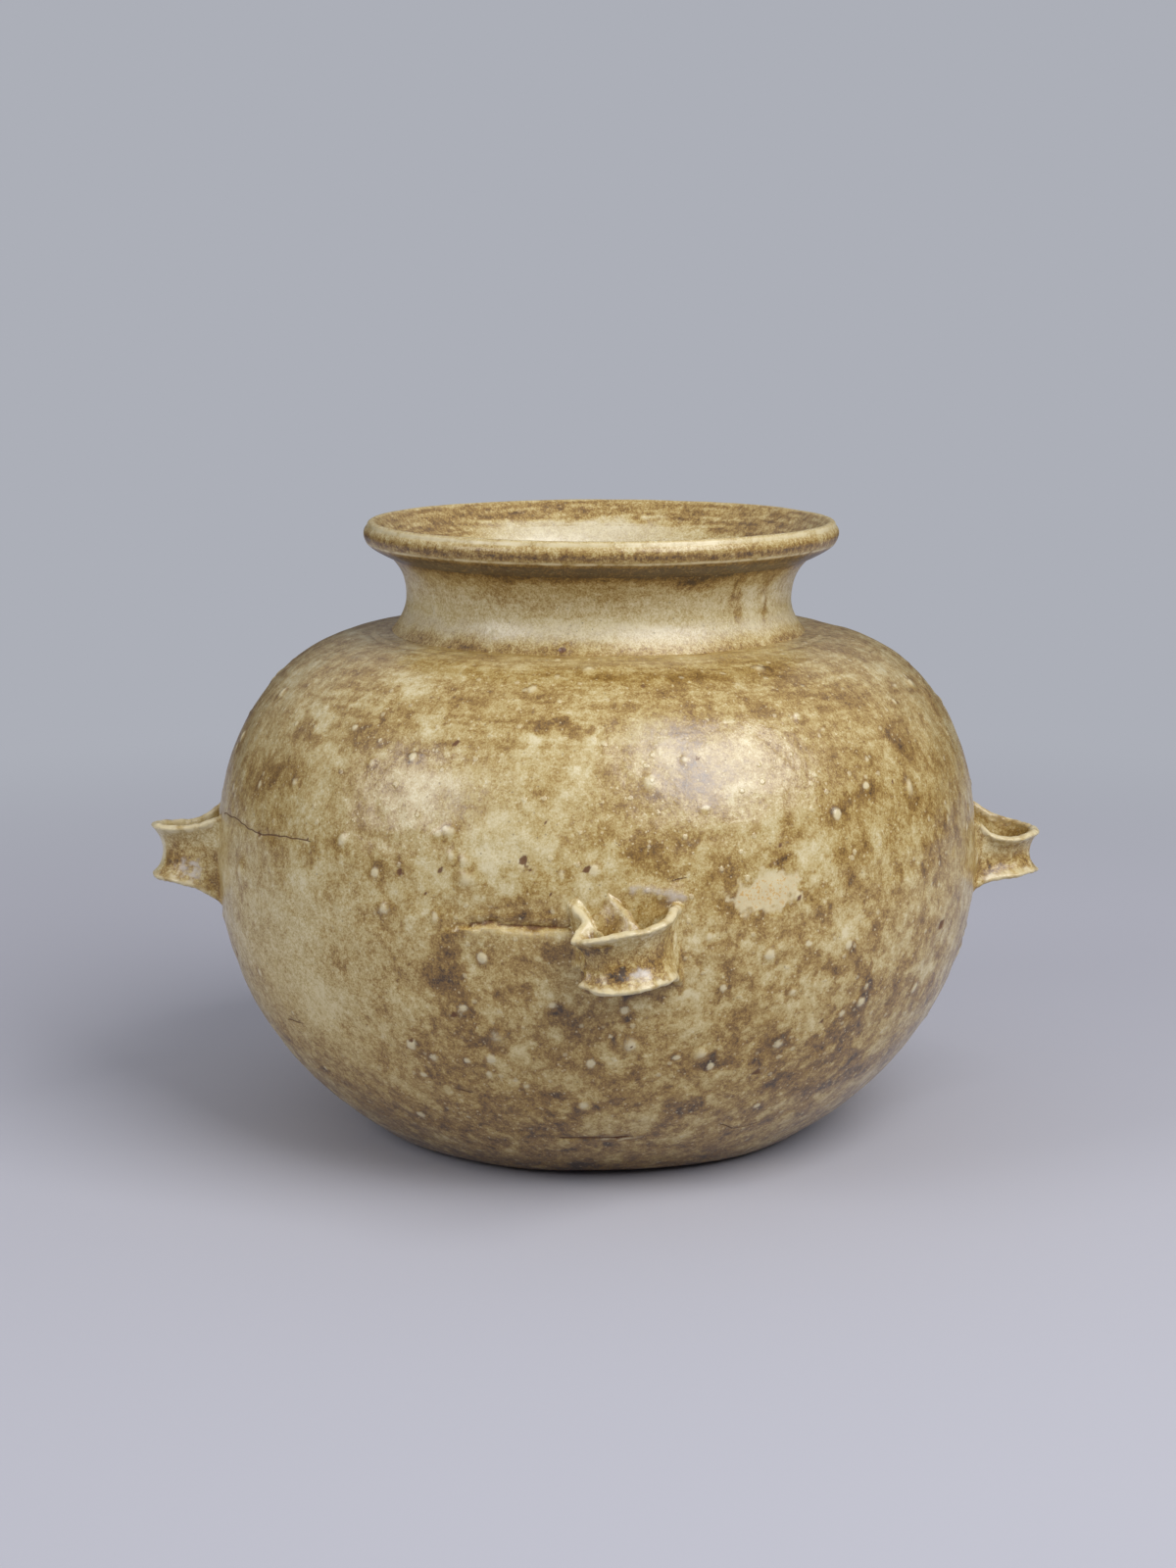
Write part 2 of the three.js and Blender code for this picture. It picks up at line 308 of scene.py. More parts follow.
def scattered(count, seed, least, most):
    """Marks all round the wall, fewer where those that were picked out one by one are."""
    draw = np.random.default_rng(seed)
    found = []
    while len(found) < count:
        turn, height = draw.uniform(-180, 180), draw.uniform(MARKED_FROM, MARKED_TO)
        if PICKED_FROM < turn < PICKED_TO and draw.random() < LEFT_OUT:
            continue
        size = least + (most - least) * draw.random() ** 2
        found.append((turn, height, size, size * draw.uniform(0.8, 1.3)))
    return found


# Iron stains, and below 0 milky patches: turn, height, half width, half height, strength. The dark mark at
# (-85, 70.5) is painted shadow under the front lug's strap, and those at (-79, 74.5), (-91, 56) and
# (-93, 65) are stains darkened further as painted shadow beside and below it
STAINS_AND_SHADE = [
    (-36, 100, 38, 52, 0.28), (-140, 66, 36, 34, -0.55), (-98, 114, 16, 14, -0.4), (-101, 119, 34, 26, -0.25),
    (-52, 36, 24, 16, 0.4), (-79, 74.5, 1.1, 2.6, 1.8), (-73, 127, 14, 13, 0.25), (-112, 126, 12, 10, 0.2),
    (-110, 85, 3, 8, 0.8), (-113, 74, 7, 4, 1.0), (-109, 79, 3, 9, 0.5), (-99, 97, 12, 3, 1.0),
    (-100, 101, 4, 6, 0.6), (-94, 83, 11, 3, 0.5), (-93, 65, 12, 6, 0.6), (-91, 56, 10, 8, 0.6),
    (-85, 70.5, 5, 4, 2.1), (-90, 120, 4, 4, 0.8), (-84, 115, 5, 4, 0.6), (-78, 116, 6, 5, 0.4),
    (-88, 158, 6, 4, 0.7), (-95, 147, 5, 4, 1.0), (-98, 150, 8, 3, 0.8), (-117, 139, 30, 2, 0.7),
    (-125, 149, 5, 3, 1.0), (-139, 148, 9, 2, 0.9), (-142, 139, 7, 3, 0.9), (-146, 127, 12, 3, 0.8),
    (-130, 144, 6, 2, 0.6), (-118, 106, 7, 3, 0.9), (-121, 94, 5, 4, 0.8), (-134, 108, 3, 4, 0.5),
    (-128, 75, 4, 3, 0.7), (-118, 77, 5, 3, 0.5), (-63, 118, 6, 4, 0.9), (-51, 124, 7, 4, 0.9),
    (-47, 138, 4, 2, 0.6), (-58, 94, 3, 5, 1.1), (-73, 96, 3, 12, 0.6), (-70, 79, 3, 7, 1.0),
    (-65, 109, 5, 2, 1.1), (-35, 98, 5, 4, 1.0), (-25, 105, 5, 3, 0.7), (-47, 86, 3, 5, 0.8),
    (-50, 73, 4, 7, 0.8), (-40, 61, 5, 8, 0.6), (-56, 75, 4, 4, 0.6), (-48, 50, 8, 6, 0.7),
    (-74, 47, 7, 4, 1.1), (-83, 47, 3, 5, 1.1), (-64, 48, 5, 5, 1.0), (-60, 39, 6, 4, 0.7),
    (-107, 50, 7, 6, 0.8), (-111, 63, 3, 3, 0.7), (-117, 40, 7, 5, 0.6), (-98, 38, 9, 3, 0.7),
    (-75, 31, 6, 4, 0.7), (-112, 30, 8, 4, 0.6), (-88, 20, 9, 3, 0.6), (-44, 32, 10, 4, 0.8),
    (-95, 111, 5, 6, 0.5), (-87, 133, 3, 8, 0.4), (-99, 133, 3, 5, 0.4), (-72, 160, 9, 3, 0.5),
    (-61, 152, 7, 4, 0.4), (-43, 151, 10, 3, 0.5), (-35, 136, 7, 4, 0.6), (-118, 157, 10, 2, 0.6),
    (-99, 145, 3, 3, -1.3), (-91, 145, 2, 6, -1.0), (-92, 134, 3, 8, -0.9), (-116, 127, 11, 8, -0.5),
    (-104, 110, 7, 11, -0.7), (-111, 133, 3, 2, -0.6), (-100, 133, 2, 6, -0.4), (-86, 49, 8, 6, -0.9),
    (-79, 65, 6, 9, -0.8), (-65, 76, 6, 5, -0.8), (-63, 66, 4, 4, -1.0), (-68, 86, 4, 2, -0.8),
    (-75, 87, 4, 3, -0.8), (-107, 80, 3, 9, -0.6), (-143, 144, 12, 2, -1.1), (-126, 156, 15, 2, -0.8),
    (-134, 151, 5, 2, -0.9), (-115, 146, 8, 2, -0.8), (-153, 148, 10, 2, -0.8), (-132, 136, 7, 2, -0.6),
    (-153, 132, 8, 2, -0.5), (-84, 28, 8, 5, -0.7), (-91, 33, 4, 4, -0.6), (-70, 22, 7, 4, -0.5),
    (-101, 50, 3, 6, -0.5), (-79, 104, 7, 4, -0.5), (-57, 107, 4, 4, -0.5), (-46, 110, 4, 6, -0.4),
    (-69, 123, 14, 7, -0.4), (-80, 133, 10, 11, -0.4), (-131, 62, 25, 20, -0.2), (-40, 87, 4, 4, -0.5),
    (-54, 86, 4, 4, -0.7), (-59, 57, 6, 5, -0.7), (-99, 141, 9, 2, -0.4), (-72, 113, 7, 4, -0.4),
]
STAIN_AND_SHADE_STRENGTH = 0.24
MORE_STAINS = [
    (*place, (-1) ** k * (0.5 + 0.06 * (k % 9))) for k, place in enumerate(scattered(150, 30, 3, 9))
]
# How much browner the glaze is at some heights
HEIGHTS = (0, 14, 34, 52, 72, 100, 136, 152, 163)
BROWNER = (0.20, 0.15, 0.08, 0.05, 0.03, 0.03, 0.05, 0.07, 0.08)
# Where the glaze is plain: turn, height, and how fast it fades in degrees and millimetres
CALM_PATCH = (-141, 68, 24, 34)


def browned(points):
    """How much browner than straw, or below 0 milkier, the outer face is, with painted shadow below the front
    lug.
    """
    turn, run = np.arctan2(points[..., 1], points[..., 0]), run_of(points[..., 2])
    radius = np.hypot(points[..., 0], points[..., 1])
    astray = 2.4 * lumps(points, 11, 51) + 1.1 * lumps(points, 4, 52)
    adrift = 2.0 * lumps(points, 11, 53) + 1.1 * lumps(points, 4, 54)
    stained_and_shaded = np.zeros(turn.shape)
    for place, height, wide, tall, strength in [*STAINS_AND_SHADE, *MORE_STAINS]:
        over = (swung(turn, place) * radius + astray) / wide
        up = (run - run_of(height) + adrift) / tall
        stained_and_shaded += strength * np.exp(-(over**2) - up**2)
    clouds = 0.03 * (lumps(points, 45, 55) + lumps(points, 15, 56) + lumps(points, 6, 57))
    return STAIN_AND_SHADE_STRENGTH * stained_and_shaded + clouds + np.interp(points[..., 2], HEIGHTS, BROWNER)


def calmed(points):
    """1 where the glaze lies thick, even and plain, low on the jar's left, fading to 0."""
    turn = np.degrees(np.arctan2(points[..., 1], points[..., 0]))
    place, height, wide, tall = CALM_PATCH
    return np.exp(-(((turn - place) / wide) ** 2) - ((points[..., 2] - height) / tall) ** 2)


def corners_in_turn(faces, spots):
    """Faces and the places of their corners on a flat map, without the corners that meet."""
    polygons, places = [], []
    for face, on_map in zip(faces.tolist(), spots.tolist()):
        seen = {}
        for vertex, spot in zip(face, on_map):
            seen.setdefault(vertex, spot)
        polygons.append(list(seen))
        places.extend(seen.values())
    return polygons, places


def shell(name, outside, inside):
    """One closed piece from rows up its outside and back down its inside."""
    grids = []
    amounts = {layer: [] for layer in LAYERS}
    for sheet in (*outside, *inside):
        grid = sheet.placed()
        first = int(bool(grids) and np.allclose(grids[-1][-1], grid[0], atol=1e-9))
        grids.append(grid[first:])
        for layer in LAYERS:
            amounts[layer].append(sheet.layers[layer][first:])
    grid = np.concatenate(grids)
    points = grid.reshape(-1, 3)
    carried = {layer: np.concatenate(amounts[layer]).reshape(-1) for layer in LAYERS}
    index = np.arange(len(points)).reshape(-1, COLUMNS)
    starts_at_a_point = np.allclose(np.ptp(grid[0], axis=0), 0, atol=1e-9)
    low = index[:-1] if starts_at_a_point else index
    high = index[1:] if starts_at_a_point else np.roll(index, -1, axis=0)
    faces = np.stack([low, np.roll(low, -1, 1), np.roll(high, -1, 1), high], -1).reshape(-1, 4)
    if starts_at_a_point:
        renamed = np.arange(len(points))
        renamed[index[0]], renamed[index[-1]] = index[0, 0], index[-1, 0]
        used = np.unique(renamed)
        shrink = np.zeros(len(points), int)
        shrink[used] = np.arange(len(used))
        faces = shrink[renamed[faces]]
        points = points[used]
        carried = {layer: carried[layer][used] for layer in LAYERS}
    row, column = np.indices(low.shape)
    overs = np.stack([column, column + 1, column + 1, column], -1) / COLUMNS
    ups = np.stack([row, row, row + 1, row + 1], -1) / len(grid)
    polygons, places = corners_in_turn(faces, np.stack([overs, ups], -1).reshape(-1, 4, 2))
    made = bpy.data.meshes.new(name)
    made.from_pydata(points.tolist(), [], polygons)
    unwrapped = made.uv_layers.new(name="OFBake")
    unwrapped.data.foreach_set("uv", np.array(places, np.float32).ravel())
    return finished(name, made, carried)


def linked(name, made):
    """A mesh, lamp or camera as an object in the scene, in smooth shading if it has faces."""
    if isinstance(made, bpy.types.Mesh):
        made.polygons.foreach_set("use_smooth", np.ones(len(made.polygons), bool))
    held = bpy.data.objects.new(name, made)
    bpy.context.scene.collection.objects.link(held)
    return held


# Edges that turn by more than this, in degrees, stay crisp
CRISP_ANGLE = 50


def finished(name, made, carried):
    """Smooth faces with crisp joints, and the layers that the glaze reads."""
    for layer, shares in carried.items():
        stored = made.attributes.new(layer, "FLOAT", "POINT")
        stored.data.foreach_set("value", np.asarray(shares, np.float32))
    piece = linked(name, made)
    made.set_sharp_from_angle(angle=math.radians(CRISP_ANGLE))
    made.update()
    return piece


class Wire:
    """A value that runs through a finish. Python's signs on it add the Math nodes."""

    def __init__(self, socket):
        self.socket = socket

    def worked(self, operation, *values):
        tree = self.socket.id_data
        made = tree.nodes.new("ShaderNodeMath")
        made.operation = operation
        for place, value in zip(made.inputs, values):
            if isinstance(value, Wire):
                tree.links.new(value.socket, place)
            else:
                place.default_value = value
        return Wire(made.outputs[0])

    def __add__(self, other):
        return self.worked("ADD", self, other)

    def __sub__(self, other):
        return self.worked("SUBTRACT", self, other)

    def __rsub__(self, other):
        return self.worked("SUBTRACT", other, self)

    def __mul__(self, other):
        return self.worked("MULTIPLY", self, other)

    def __abs__(self):
        return self.worked("ABSOLUTE", self)

    __radd__ = __add__
    __rmul__ = __mul__


class Finish:
    """The nodes of a material, or of the studio's air, on their way to its shader."""

    def __init__(self, owner):
        owner.use_nodes = True
        self.tree = owner.node_tree
        self.tree.nodes.clear()

    def node(self, kind, settings, sockets, out=0):
        """Any node: its type, its settings, what goes into its sockets, and the output used."""
        made = self.tree.nodes.new("ShaderNode" + kind)
        for setting, value in settings.items():
            if setting == "stops":
                self.fill(made.color_ramp.elements, value)
            else:
                setattr(made, setting, value)
        for place, value in sockets.items():
            if isinstance(value, Wire):
                self.tree.links.new(value.socket, made.inputs[place])
            else:
                made.inputs[place].default_value = value
        return Wire(made.outputs[out]) if made.outputs else None

    def fill(self, stops, values):
        """Puts a ramp's stops in place of the two that it comes with."""
        stops.remove(stops[-1])
        for place, colour in values[1:]:
            stops.new(place).color = colour
        stops[0].position, stops[0].color = values[0]

    def layer(self, name):
        return self.node("Attribute", {"attribute_name": name}, {}, out="Fac")

    def ease(self, value, low, high, start=0.0, end=1.0):
        """Start below low, end above high, and a smooth step between them."""
        ends = {"Value": value, "From Min": low, "From Max": high, "To Min": start, "To Max": end}
        return self.node("MapRange", {"interpolation_type": "SMOOTHSTEP"}, ends)

    def mix(self, share, first, second, how="MIX"):
        settings = {"data_type": "RGBA", "blend_type": how}
        return self.node("Mix", settings, {0: share, 6: first, 7: second}, out=2)

    def noise(self, place, size, detail=3.0, roughness=0.55, warp=0.0):
        """Cloudy noise whose largest patches are about size millimetres wide."""
        inputs = {
            "Vector": place,
            "Scale": 1 / (size * MM),
            "Detail": detail,
            "Roughness": roughness,
            "Distortion": warp,
        }
        return self.node("TexNoise", {}, inputs, out="Fac")

    def dots(self, place, pitch):
        """How far from the nearest of some scattered points about pitch millimetres apart."""
        return self.node("TexVoronoi", {}, {"Vector": place, "Scale": 1 / (pitch * MM)}, out="Distance")

    def scaled(self, place, shares):
        return self.node("VectorMath", {"operation": "MULTIPLY"}, {0: place, 1: shares})


def paint(red, green, blue):
    """A colour as it is seen on a screen, 0 to 255, as the light values that Blender mixes."""
    seen = [c / 255 for c in (red, green, blue)]
    return (*[c / 12.92 if c <= 0.04045 else ((c + 0.055) / 1.055) ** 2.4 for c in seen], 1.0)


# A thin wood-ash glaze that has run and pooled over coarse clay: cream where it is milky, straw
# over most of the wall, ochre and umber where iron has come through
UMBER = paint(103, 75, 36)
GLAZE_TONES = [
    (0.18, paint(223, 210, 170)),
    (0.36, paint(207, 190, 141)),
    (0.50, paint(190, 167, 109)),
    (0.62, paint(168, 138, 76)),
    (0.76, paint(138, 105, 48)),
    (0.93, UMBER),
    (1.00, paint(72, 52, 30)),
]
OCHRE = (1.0, 0.93, 0.74, 1.0)
CREAM = paint(222, 207, 164)
# Milky glaze, and also the colour of painted sheen and glints
MILK_AND_SHEEN = paint(207, 199, 188)
IRON = paint(104, 66, 42)
DARK_MARK_AND_SHADE = paint(100, 60, 28)
CLAY = paint(168, 138, 100)
DAMP_CLAY = paint(132, 100, 68)
SCAR_CLAY = paint(210, 196, 156)
SCAR_SPECK = paint(206, 156, 68)


def ash_glaze():
    material = bpy.data.materials.new("ash_glaze")
    g = Finish(material)
    spot = g.node("TexCoord", {}, {}, out="Object")
    tall = g.node("SeparateXYZ", {}, {0: spot}, out="Z")
    hanging = g.scaled(spot, (1.0, 1.0, 0.85))
    calm = g.layer("calm")
    mottle = g.noise(hanging, 12, 5, 0.66, 0.3)
    pebble = g.noise(hanging, 4.8, 2, 0.5, 0.3)
    fleck = g.noise(spot, 1.9, 3, 0.75)
    grain = g.noise(spot, 0.62, 2, 0.8)
    # Iron in the glaze: clouds and blots, more of them low on the wall, and a fine sprinkling
    uneven = g.ease(tall, 0.04, 0.15, 1.7, 0.75) * (1 - calm * 0.85)
    blob = g.ease(pebble + (fleck - 0.5) * 0.3, 0.54, 0.70)
    dip = g.ease(pebble + (fleck - 0.5) * 0.4, 0.46, 0.30)
    blotches = blob * -0.13 + dip * 0.12 + (mottle - 0.5) * 0.55
    sprinkled = ((fleck - 0.5) * (uneven * 0.3 + 0.5) + (grain - 0.5) * 0.65) * (1 + calm * 0.5)
    iron = 0.52 + g.layer("tone") + uneven * blotches + sprinkled
    colour = g.node("ValToRGB", {"stops": GLAZE_TONES}, {"Fac": iron}, out="Color")
    colour = g.mix(g.ease(tall, 0.03, 0.11, 1.0, 0.0), colour, g.mix(1.0, colour, OCHRE, "MULTIPLY"))
    # Small blisters and pale specks, dark fly specks, and the marks that the layers carry
    blister = g.ease(g.dots(spot, 6.5) + (fleck - 0.5) * 0.2, 0.16, 0.08) * (1 - calm)
    colour = g.mix(blister * 0.5, colour, CREAM)
    speck = g.ease(g.dots(spot, 2.1) + (fleck - 0.5) * 0.5, 0.20, 0.09)
    colour = g.mix(speck * (0.55 - calm * 0.45), colour, CREAM)
    fly = g.ease(g.dots(g.scaled(spot, (0.7, 0.7, 0.7)), 2.4) + (grain - 0.5) * 0.3, 0.10, 0.05)
    colour = g.mix(fly * 0.5, colour, UMBER)
    pale = g.layer("pale") + (fleck - 0.5) * 1.1 + (grain - 0.5) * 0.4
    colour = g.mix(g.ease(pale, 0.2, 0.85, 0.0, 0.9), colour, CREAM)
    # Milky glaze, with painted sheen and glints laid on as milk
    milk = g.layer("milk") + (fleck - 0.5) * 0.6
    colour = g.mix(g.ease(milk, 0.15, 1.0, 0.0, 0.85), colour, MILK_AND_SHEEN)
    rust = g.layer("rust") + (grain - 0.5) * 0.5
    colour = g.mix(g.ease(rust, 0.3, 0.8, 0.0, 0.9), colour, IRON)
    # Dark marks: pinholes, cracks, lug spots and the neck's foot, with painted shadow in the ledge's crease
    # and under the right lug
    dark = g.ease(g.layer("dark") + (fleck - 0.5) * 0.6, 0.25, 0.75, 0.0, 0.9)
    colour = g.mix(dark, colour, DARK_MARK_AND_SHADE)
    split = g.ease(abs(g.layer("crack")) + (grain - 0.5) * 0.3, 0.40, 0.12) * g.layer("split")
    colour = g.mix(g.ease(split, 0.2, 0.7, 0.0, 0.8), colour, DARK_MARK_AND_SHADE)
    # Clay where the glaze flaked off, and on the underside
    scar = g.ease(g.layer("scar") + (fleck - 0.5) * 2.2, 0.2, 1.3)
    speckle = g.ease(fleck + (grain - 0.5) * 0.8, 0.52, 0.64) * g.ease(g.layer("scar"), 0.9, 1.8)
    bald = g.mix(g.ease(grain * 0.4 + fleck * 0.6, 0.38, 0.62), SCAR_CLAY, CREAM)
    colour = g.mix(scar * 0.82, colour, g.mix(speckle * 0.75, bald, SCAR_SPECK))
    bare = g.ease(g.layer("bare") + (fleck - 0.5) * 0.3, 0.4, 0.6)
    colour = g.mix(bare, colour, g.mix(g.ease(g.noise(spot, 5, 4), 0.35, 0.7), CLAY, DAMP_CLAY))
    dull = bare * 0.5 + (scar + split + dark) * 0.3 + calm * 0.16
    height = pebble * 0.22 + mottle * 0.08 + fleck * 0.09 + grain * 0.025
    height = height + blister * 0.12 + speck * 0.03 - fly * 0.04 - split * 0.3
    lifted = g.node("Bump", {}, {"Height": height, "Distance": MM, "Strength": 1.0})
    skin = {
        "Base Color": colour,
        "Roughness": g.ease(fleck * 0.5 + mottle * 0.5, 0.35, 0.65, 0.28, 0.42) + dull,
        "Normal": lifted,
        "IOR": 1.5,
        "Coat Weight": 0.6 - dull,
        "Coat Roughness": 0.2,
        "Coat Normal": lifted,
    }
    g.node("OutputMaterial", {}, {"Surface": g.node("BsdfPrincipled", {}, skin)})
    return material


glaze = ash_glaze()


def dressed(piece, *nodes):
    """Glazed, fixed to the jar, and standing in for its plain solids."""
    piece.data.materials.append(glaze)
    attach(piece, "root")
    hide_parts(*nodes)
    return piece


def glazed(sheet, depth):
    """A sheet of the outer face, thrown and stained."""
    throwing(sheet, depth)
    sheet.layers["tone"] += browned(sheet.points)
    sheet.layers["calm"] += calmed(sheet.points)
    return sheet


def hump(distance, width):
    """1 in the middle of a soft mark, fading to 0 over about that width on each side."""
    return np.exp(-((distance / width) ** 2))


# Heights over the floor, in millimetres: the bare clay ends about here, and here the red-brown
# line runs, with this spread
BARE_RISE = 1.8
RED_LINE, RED_SPREAD = 2.2, 1.1

underside, heel_face, floor = Sheet("underside"), glazed(Sheet("heel"), 1.0), Sheet("floor")
for sheet in (underside, heel_face):
    across, deep = sheet.points[..., 0], sheet.points[..., 1]
    scored = np.stack([across * 0.4 + deep, across * 0.08], -1)
    scoring = np.clip(1 - sheet.height / HEEL_RISE, 0, 1) * (1.2 + lumps(scored, 6, 21))
    sheet.relief -= 0.16 * np.maximum(scoring, 0)
    sheet.relief *= np.clip(sheet.radius / 20, 0, 1)
    sheet.layers["bare"] = np.clip(1.35 - sheet.height / BARE_RISE, 0, 1)
    sheet.layers["rust"] = 0.7 * hump(sheet.height - RED_LINE, RED_SPREAD)
    sheet.layers["tone"] += 0.08
base = dressed(shell("base_disc_glazed", [underside, heel_face], [floor]), "base_disc")


# Lower body. The lower half of the wall, thrown as an open bowl of coarse clay and glazed all
# over. Grit has lifted the glaze in small round warts, gas has left pinholes, and the wall has
# cracked a little near the foot and beside the left lug. Luted to the upper half at the belly.

# Specks of grit that lifted the glaze: turn in degrees, height, half width and half height
WARTS = [
    (-140.4, 125.9, 1.6, 1.4), (-152.7, 94.5, 2.6, 2.6), (-102.1, 156.9, 1.8, 2.0), (-92.2, 161.1, 2.0, 2.2),
    (-121.8, 104.4, 1.5, 1.4), (-120.0, 94.2, 2.1, 1.9), (-112.1, 93.5, 1.1, 1.8), (-128.0, 112.5, 1.8, 1.8),
    (-105.4, 82.4, 1.5, 1.7), (-110.2, 111.5, 1.2, 1.4), (-108.2, 110.4, 1.5, 1.5), (-107.7, 105.3, 2.8, 2.1),
    (-110.8, 118.4, 1.9, 1.7), (-94.7, 107.8, 1.1, 1.3), (-90.4, 109.3, 1.4, 1.4), (-131.8, 143.6, 1.3, 1.1),
    (-125.8, 135.1, 1.1, 0.9), (-118.8, 138.0, 1.4, 1.2), (-112.4, 117.4, 1.3, 1.1), (-56.0, 160.3, 2.2, 1.8),
    (-15.8, 158.3, 3.0, 0.9), (-54.0, 120.4, 1.7, 1.9), (-74.7, 125.6, 1.5, 1.0), (-45.6, 134.1, 1.2, 0.9),
    (-47.3, 127.0, 1.4, 1.2), (-82.5, 133.5, 1.9, 2.2), (-77.0, 139.0, 1.2, 1.2), (-65.9, 81.8, 1.8, 1.8),
    (-52.9, 81.3, 1.4, 1.5), (-74.8, 88.8, 1.2, 1.4), (-52.2, 143.8, 1.2, 0.9),
    (-16.9, 149.9, 2.8, 1.7), (-25.5, 150.7, 2.4, 0.9), (-104.1, 57.5, 2.2, 2.3), (-105.3, 49.4, 1.5, 1.8),
    (-109.1, 48.1, 1.2, 1.1), (-106.0, 44.0, 1.2, 1.5), (-122.5, 23.3, 1.7, 1.6), (-117.5, 40.8, 1.3, 1.2),
    (-95.9, 68.6, 1.4, 1.3), (-105.3, 82.2, 1.2, 1.2), (-90.6, 49.1, 1.4, 1.7), (-85.1, 55.7, 2.3, 2.6),
    (-74.5, 51.1, 2.0, 2.1), (-72.6, 46.4, 1.2, 1.4), (-62.2, 51.5, 1.9, 1.8), (-61.7, 68.9, 1.6, 1.3),
    (-59.9, 83.5, 1.3, 0.9), (-118.0, 51.1, 1.7, 1.7), (-108.5, 66.0, 1.5, 1.5), (-100.5, 40.4, 1.2, 1.5),
    (-78.0, 50.3, 1.2, 1.1), (-51.5, 58.2, 1.5, 1.3), (-47.8, 65.9, 1.2, 1.5), (-34.2, 59.3, 1.5, 1.9),
    (-72.4, 72.5, 1.2, 1.3), (-37.7, 123.9, 2.0, 3.0), (-10.6, 91.5, 3.0, 3.6),
]
# Pinholes, then iron spots, in the same way
PITS = [
    (-147.3, 108.1, 1.3, 0.9), (-134.8, 110.5, 0.8, 0.6), (-112.2, 142.8, 0.8, 0.8), (-96.9, 122.5, 0.5, 0.5),
    (-99.9, 111.3, 1.3, 1.3), (-99.3, 109.0, 1.4, 1.0), (-117.7, 105.6, 1.6, 0.9), (-113.4, 100.0, 0.8, 0.7),
    (-111.6, 107.3, 0.9, 0.7), (-91.5, 108.9, 1.2, 0.7), (-30.3, 78.4, 2.0, 1.6), (-64.3, 42.0, 1.6, 1.1),
    (-85.0, 55.0, 0.6, 0.7), (-55.0, 57.0, 0.7, 0.7), (-61.5, 97.7, 0.9, 0.8), (-41.1, 126.4, 0.9, 0.7),
    (-74.8, 139.7, 0.8, 0.7), (-109.9, 63.6, 1.2, 0.8), (-117.8, 52.9, 0.8, 0.7), (-99.7, 164.9, 0.9, 0.9),
    (-85.2, 20.1, 3.2, 0.7),
]
IRON_SPOTS = [
    (-126.0, 148.8, 1.8, 1.1), (-89.5, 127.4, 1.3, 1.4), (-74.6, 151.3, 1.8, 1.3), (-56.6, 154.6, 1.2, 1.0),
    (-44.9, 139.1, 1.3, 0.9), (-81.8, 157.8, 1.2, 2.0), (-65.2, 109.1, 1.8, 1.1), (-117.1, 73.4, 1.3, 0.6),
    (-118.5, 72.4, 0.8, 0.6), (-131.0, 131.2, 2.3, 1.4), (-133.9, 106.9, 1.4, 2.7), (-119.9, 153.5, 2.0, 1.3),
]
# Cracks as paths on the wall, by turns and heights, and how broadly each is drawn
CRACKS = [
    [(-164.5, 108.0), (-158.0, 109.2), (-153.6, 108.7), (-147.3, 108.1), (-140.5, 109.6), (-134.8, 110.4)],
    [(-145.6, 48.6), (-142.4, 48.8)],
    [(-112.0, 36.5), (-110.1, 36.2)],
    [(-95.8, 19.9), (-89.9, 20.2), (-83.9, 20.3)],
    [(-66.9, 22.4), (-63.9, 19.9), (-61.2, 19.8), (-58.8, 20.9)],
    [(-79.4, 105.7), (-78.6, 105.9)],
]
CRACK_WIDTHS = [0.7, 0.9, 0.8, 1.3, 0.6, 0.7]
# The path of the bead, and the pool under it, partly painted shade in the hollow over the strap: turn,
# height, half width and half height
BEAD = [(-78.6, 100.9), (-80.8, 102.0), (-83.0, 103.2), (-85.4, 104.0)]
BEAD_POOL_AND_SHADE = (-80.5, 98.6, 5, 2.4)
# The path of the ledge, and the corners of the scar
LEDGE = [(-106.7, 91.1), (-104.4, 92.0), (-101.7, 91.5), (-98.4, 91.0), (-95.1, 91.5), (-92.0, 91.0)]
SCAR = [
    (-70.2, 103.2), (-66.4, 107.0), (-62.3, 106.5), (-61.6, 101.5),
    (-62.5, 96.8), (-64.5, 94.3), (-69.9, 94.5), (-72.7, 99.5),
]
# No path or patch spans more of the wall than this, in millimetres
SPAN = 90


def near_path(sheet, path):
    """Signed distance above a drawn path, and the distance from it, in millimetres."""
    best = np.full(sheet.turn.shape, 1e3)
    above = np.full(sheet.turn.shape, 3.0)
    on_this_side = np.abs(sheet.away(*path[0])[0]) < SPAN
    for start, end in zip(path, path[1:]):
        over, up = sheet.away(*start)
        over_end, up_end = sheet.away(*end)
        wide, tall = over - over_end, up - up_end
        length = np.hypot(wide, tall)
        share = (over * wide + up * tall) / length**2
        side = (up * wide - over * tall) / length
        kept = np.clip(share, 0, 1)
        gap = np.hypot(over - kept * wide, up - kept * tall)
        nearer = (gap < best) & on_this_side
        best = np.where(nearer, gap, best)
        above = np.where(nearer, np.where(side * wide < 0, -1, 1) * np.abs(side), above)
        above = np.where(nearer & ((share < 0) | (share > 1)), np.sign(above) * gap, above)
    return above, best


def within(sheet, corners):
    """How deep inside a drawn patch of the wall, or below 0 how far outside it, in millimetres."""
    closed = [*corners, corners[0]]
    gap = near_path(sheet, closed)[1]
    inside = np.zeros(sheet.turn.shape, bool)
    for start, end in zip(closed, closed[1:]):
        over, up = sheet.away(*start)
        over_end, up_end = sheet.away(*end)
        spans = (up > 0) != (up_end > 0)
        level = over + (over_end - over) * up / np.where(spans, up - up_end, 1)
        inside ^= spans & (level > 0)
    return np.where(inside & (gap < SPAN), gap, -gap)


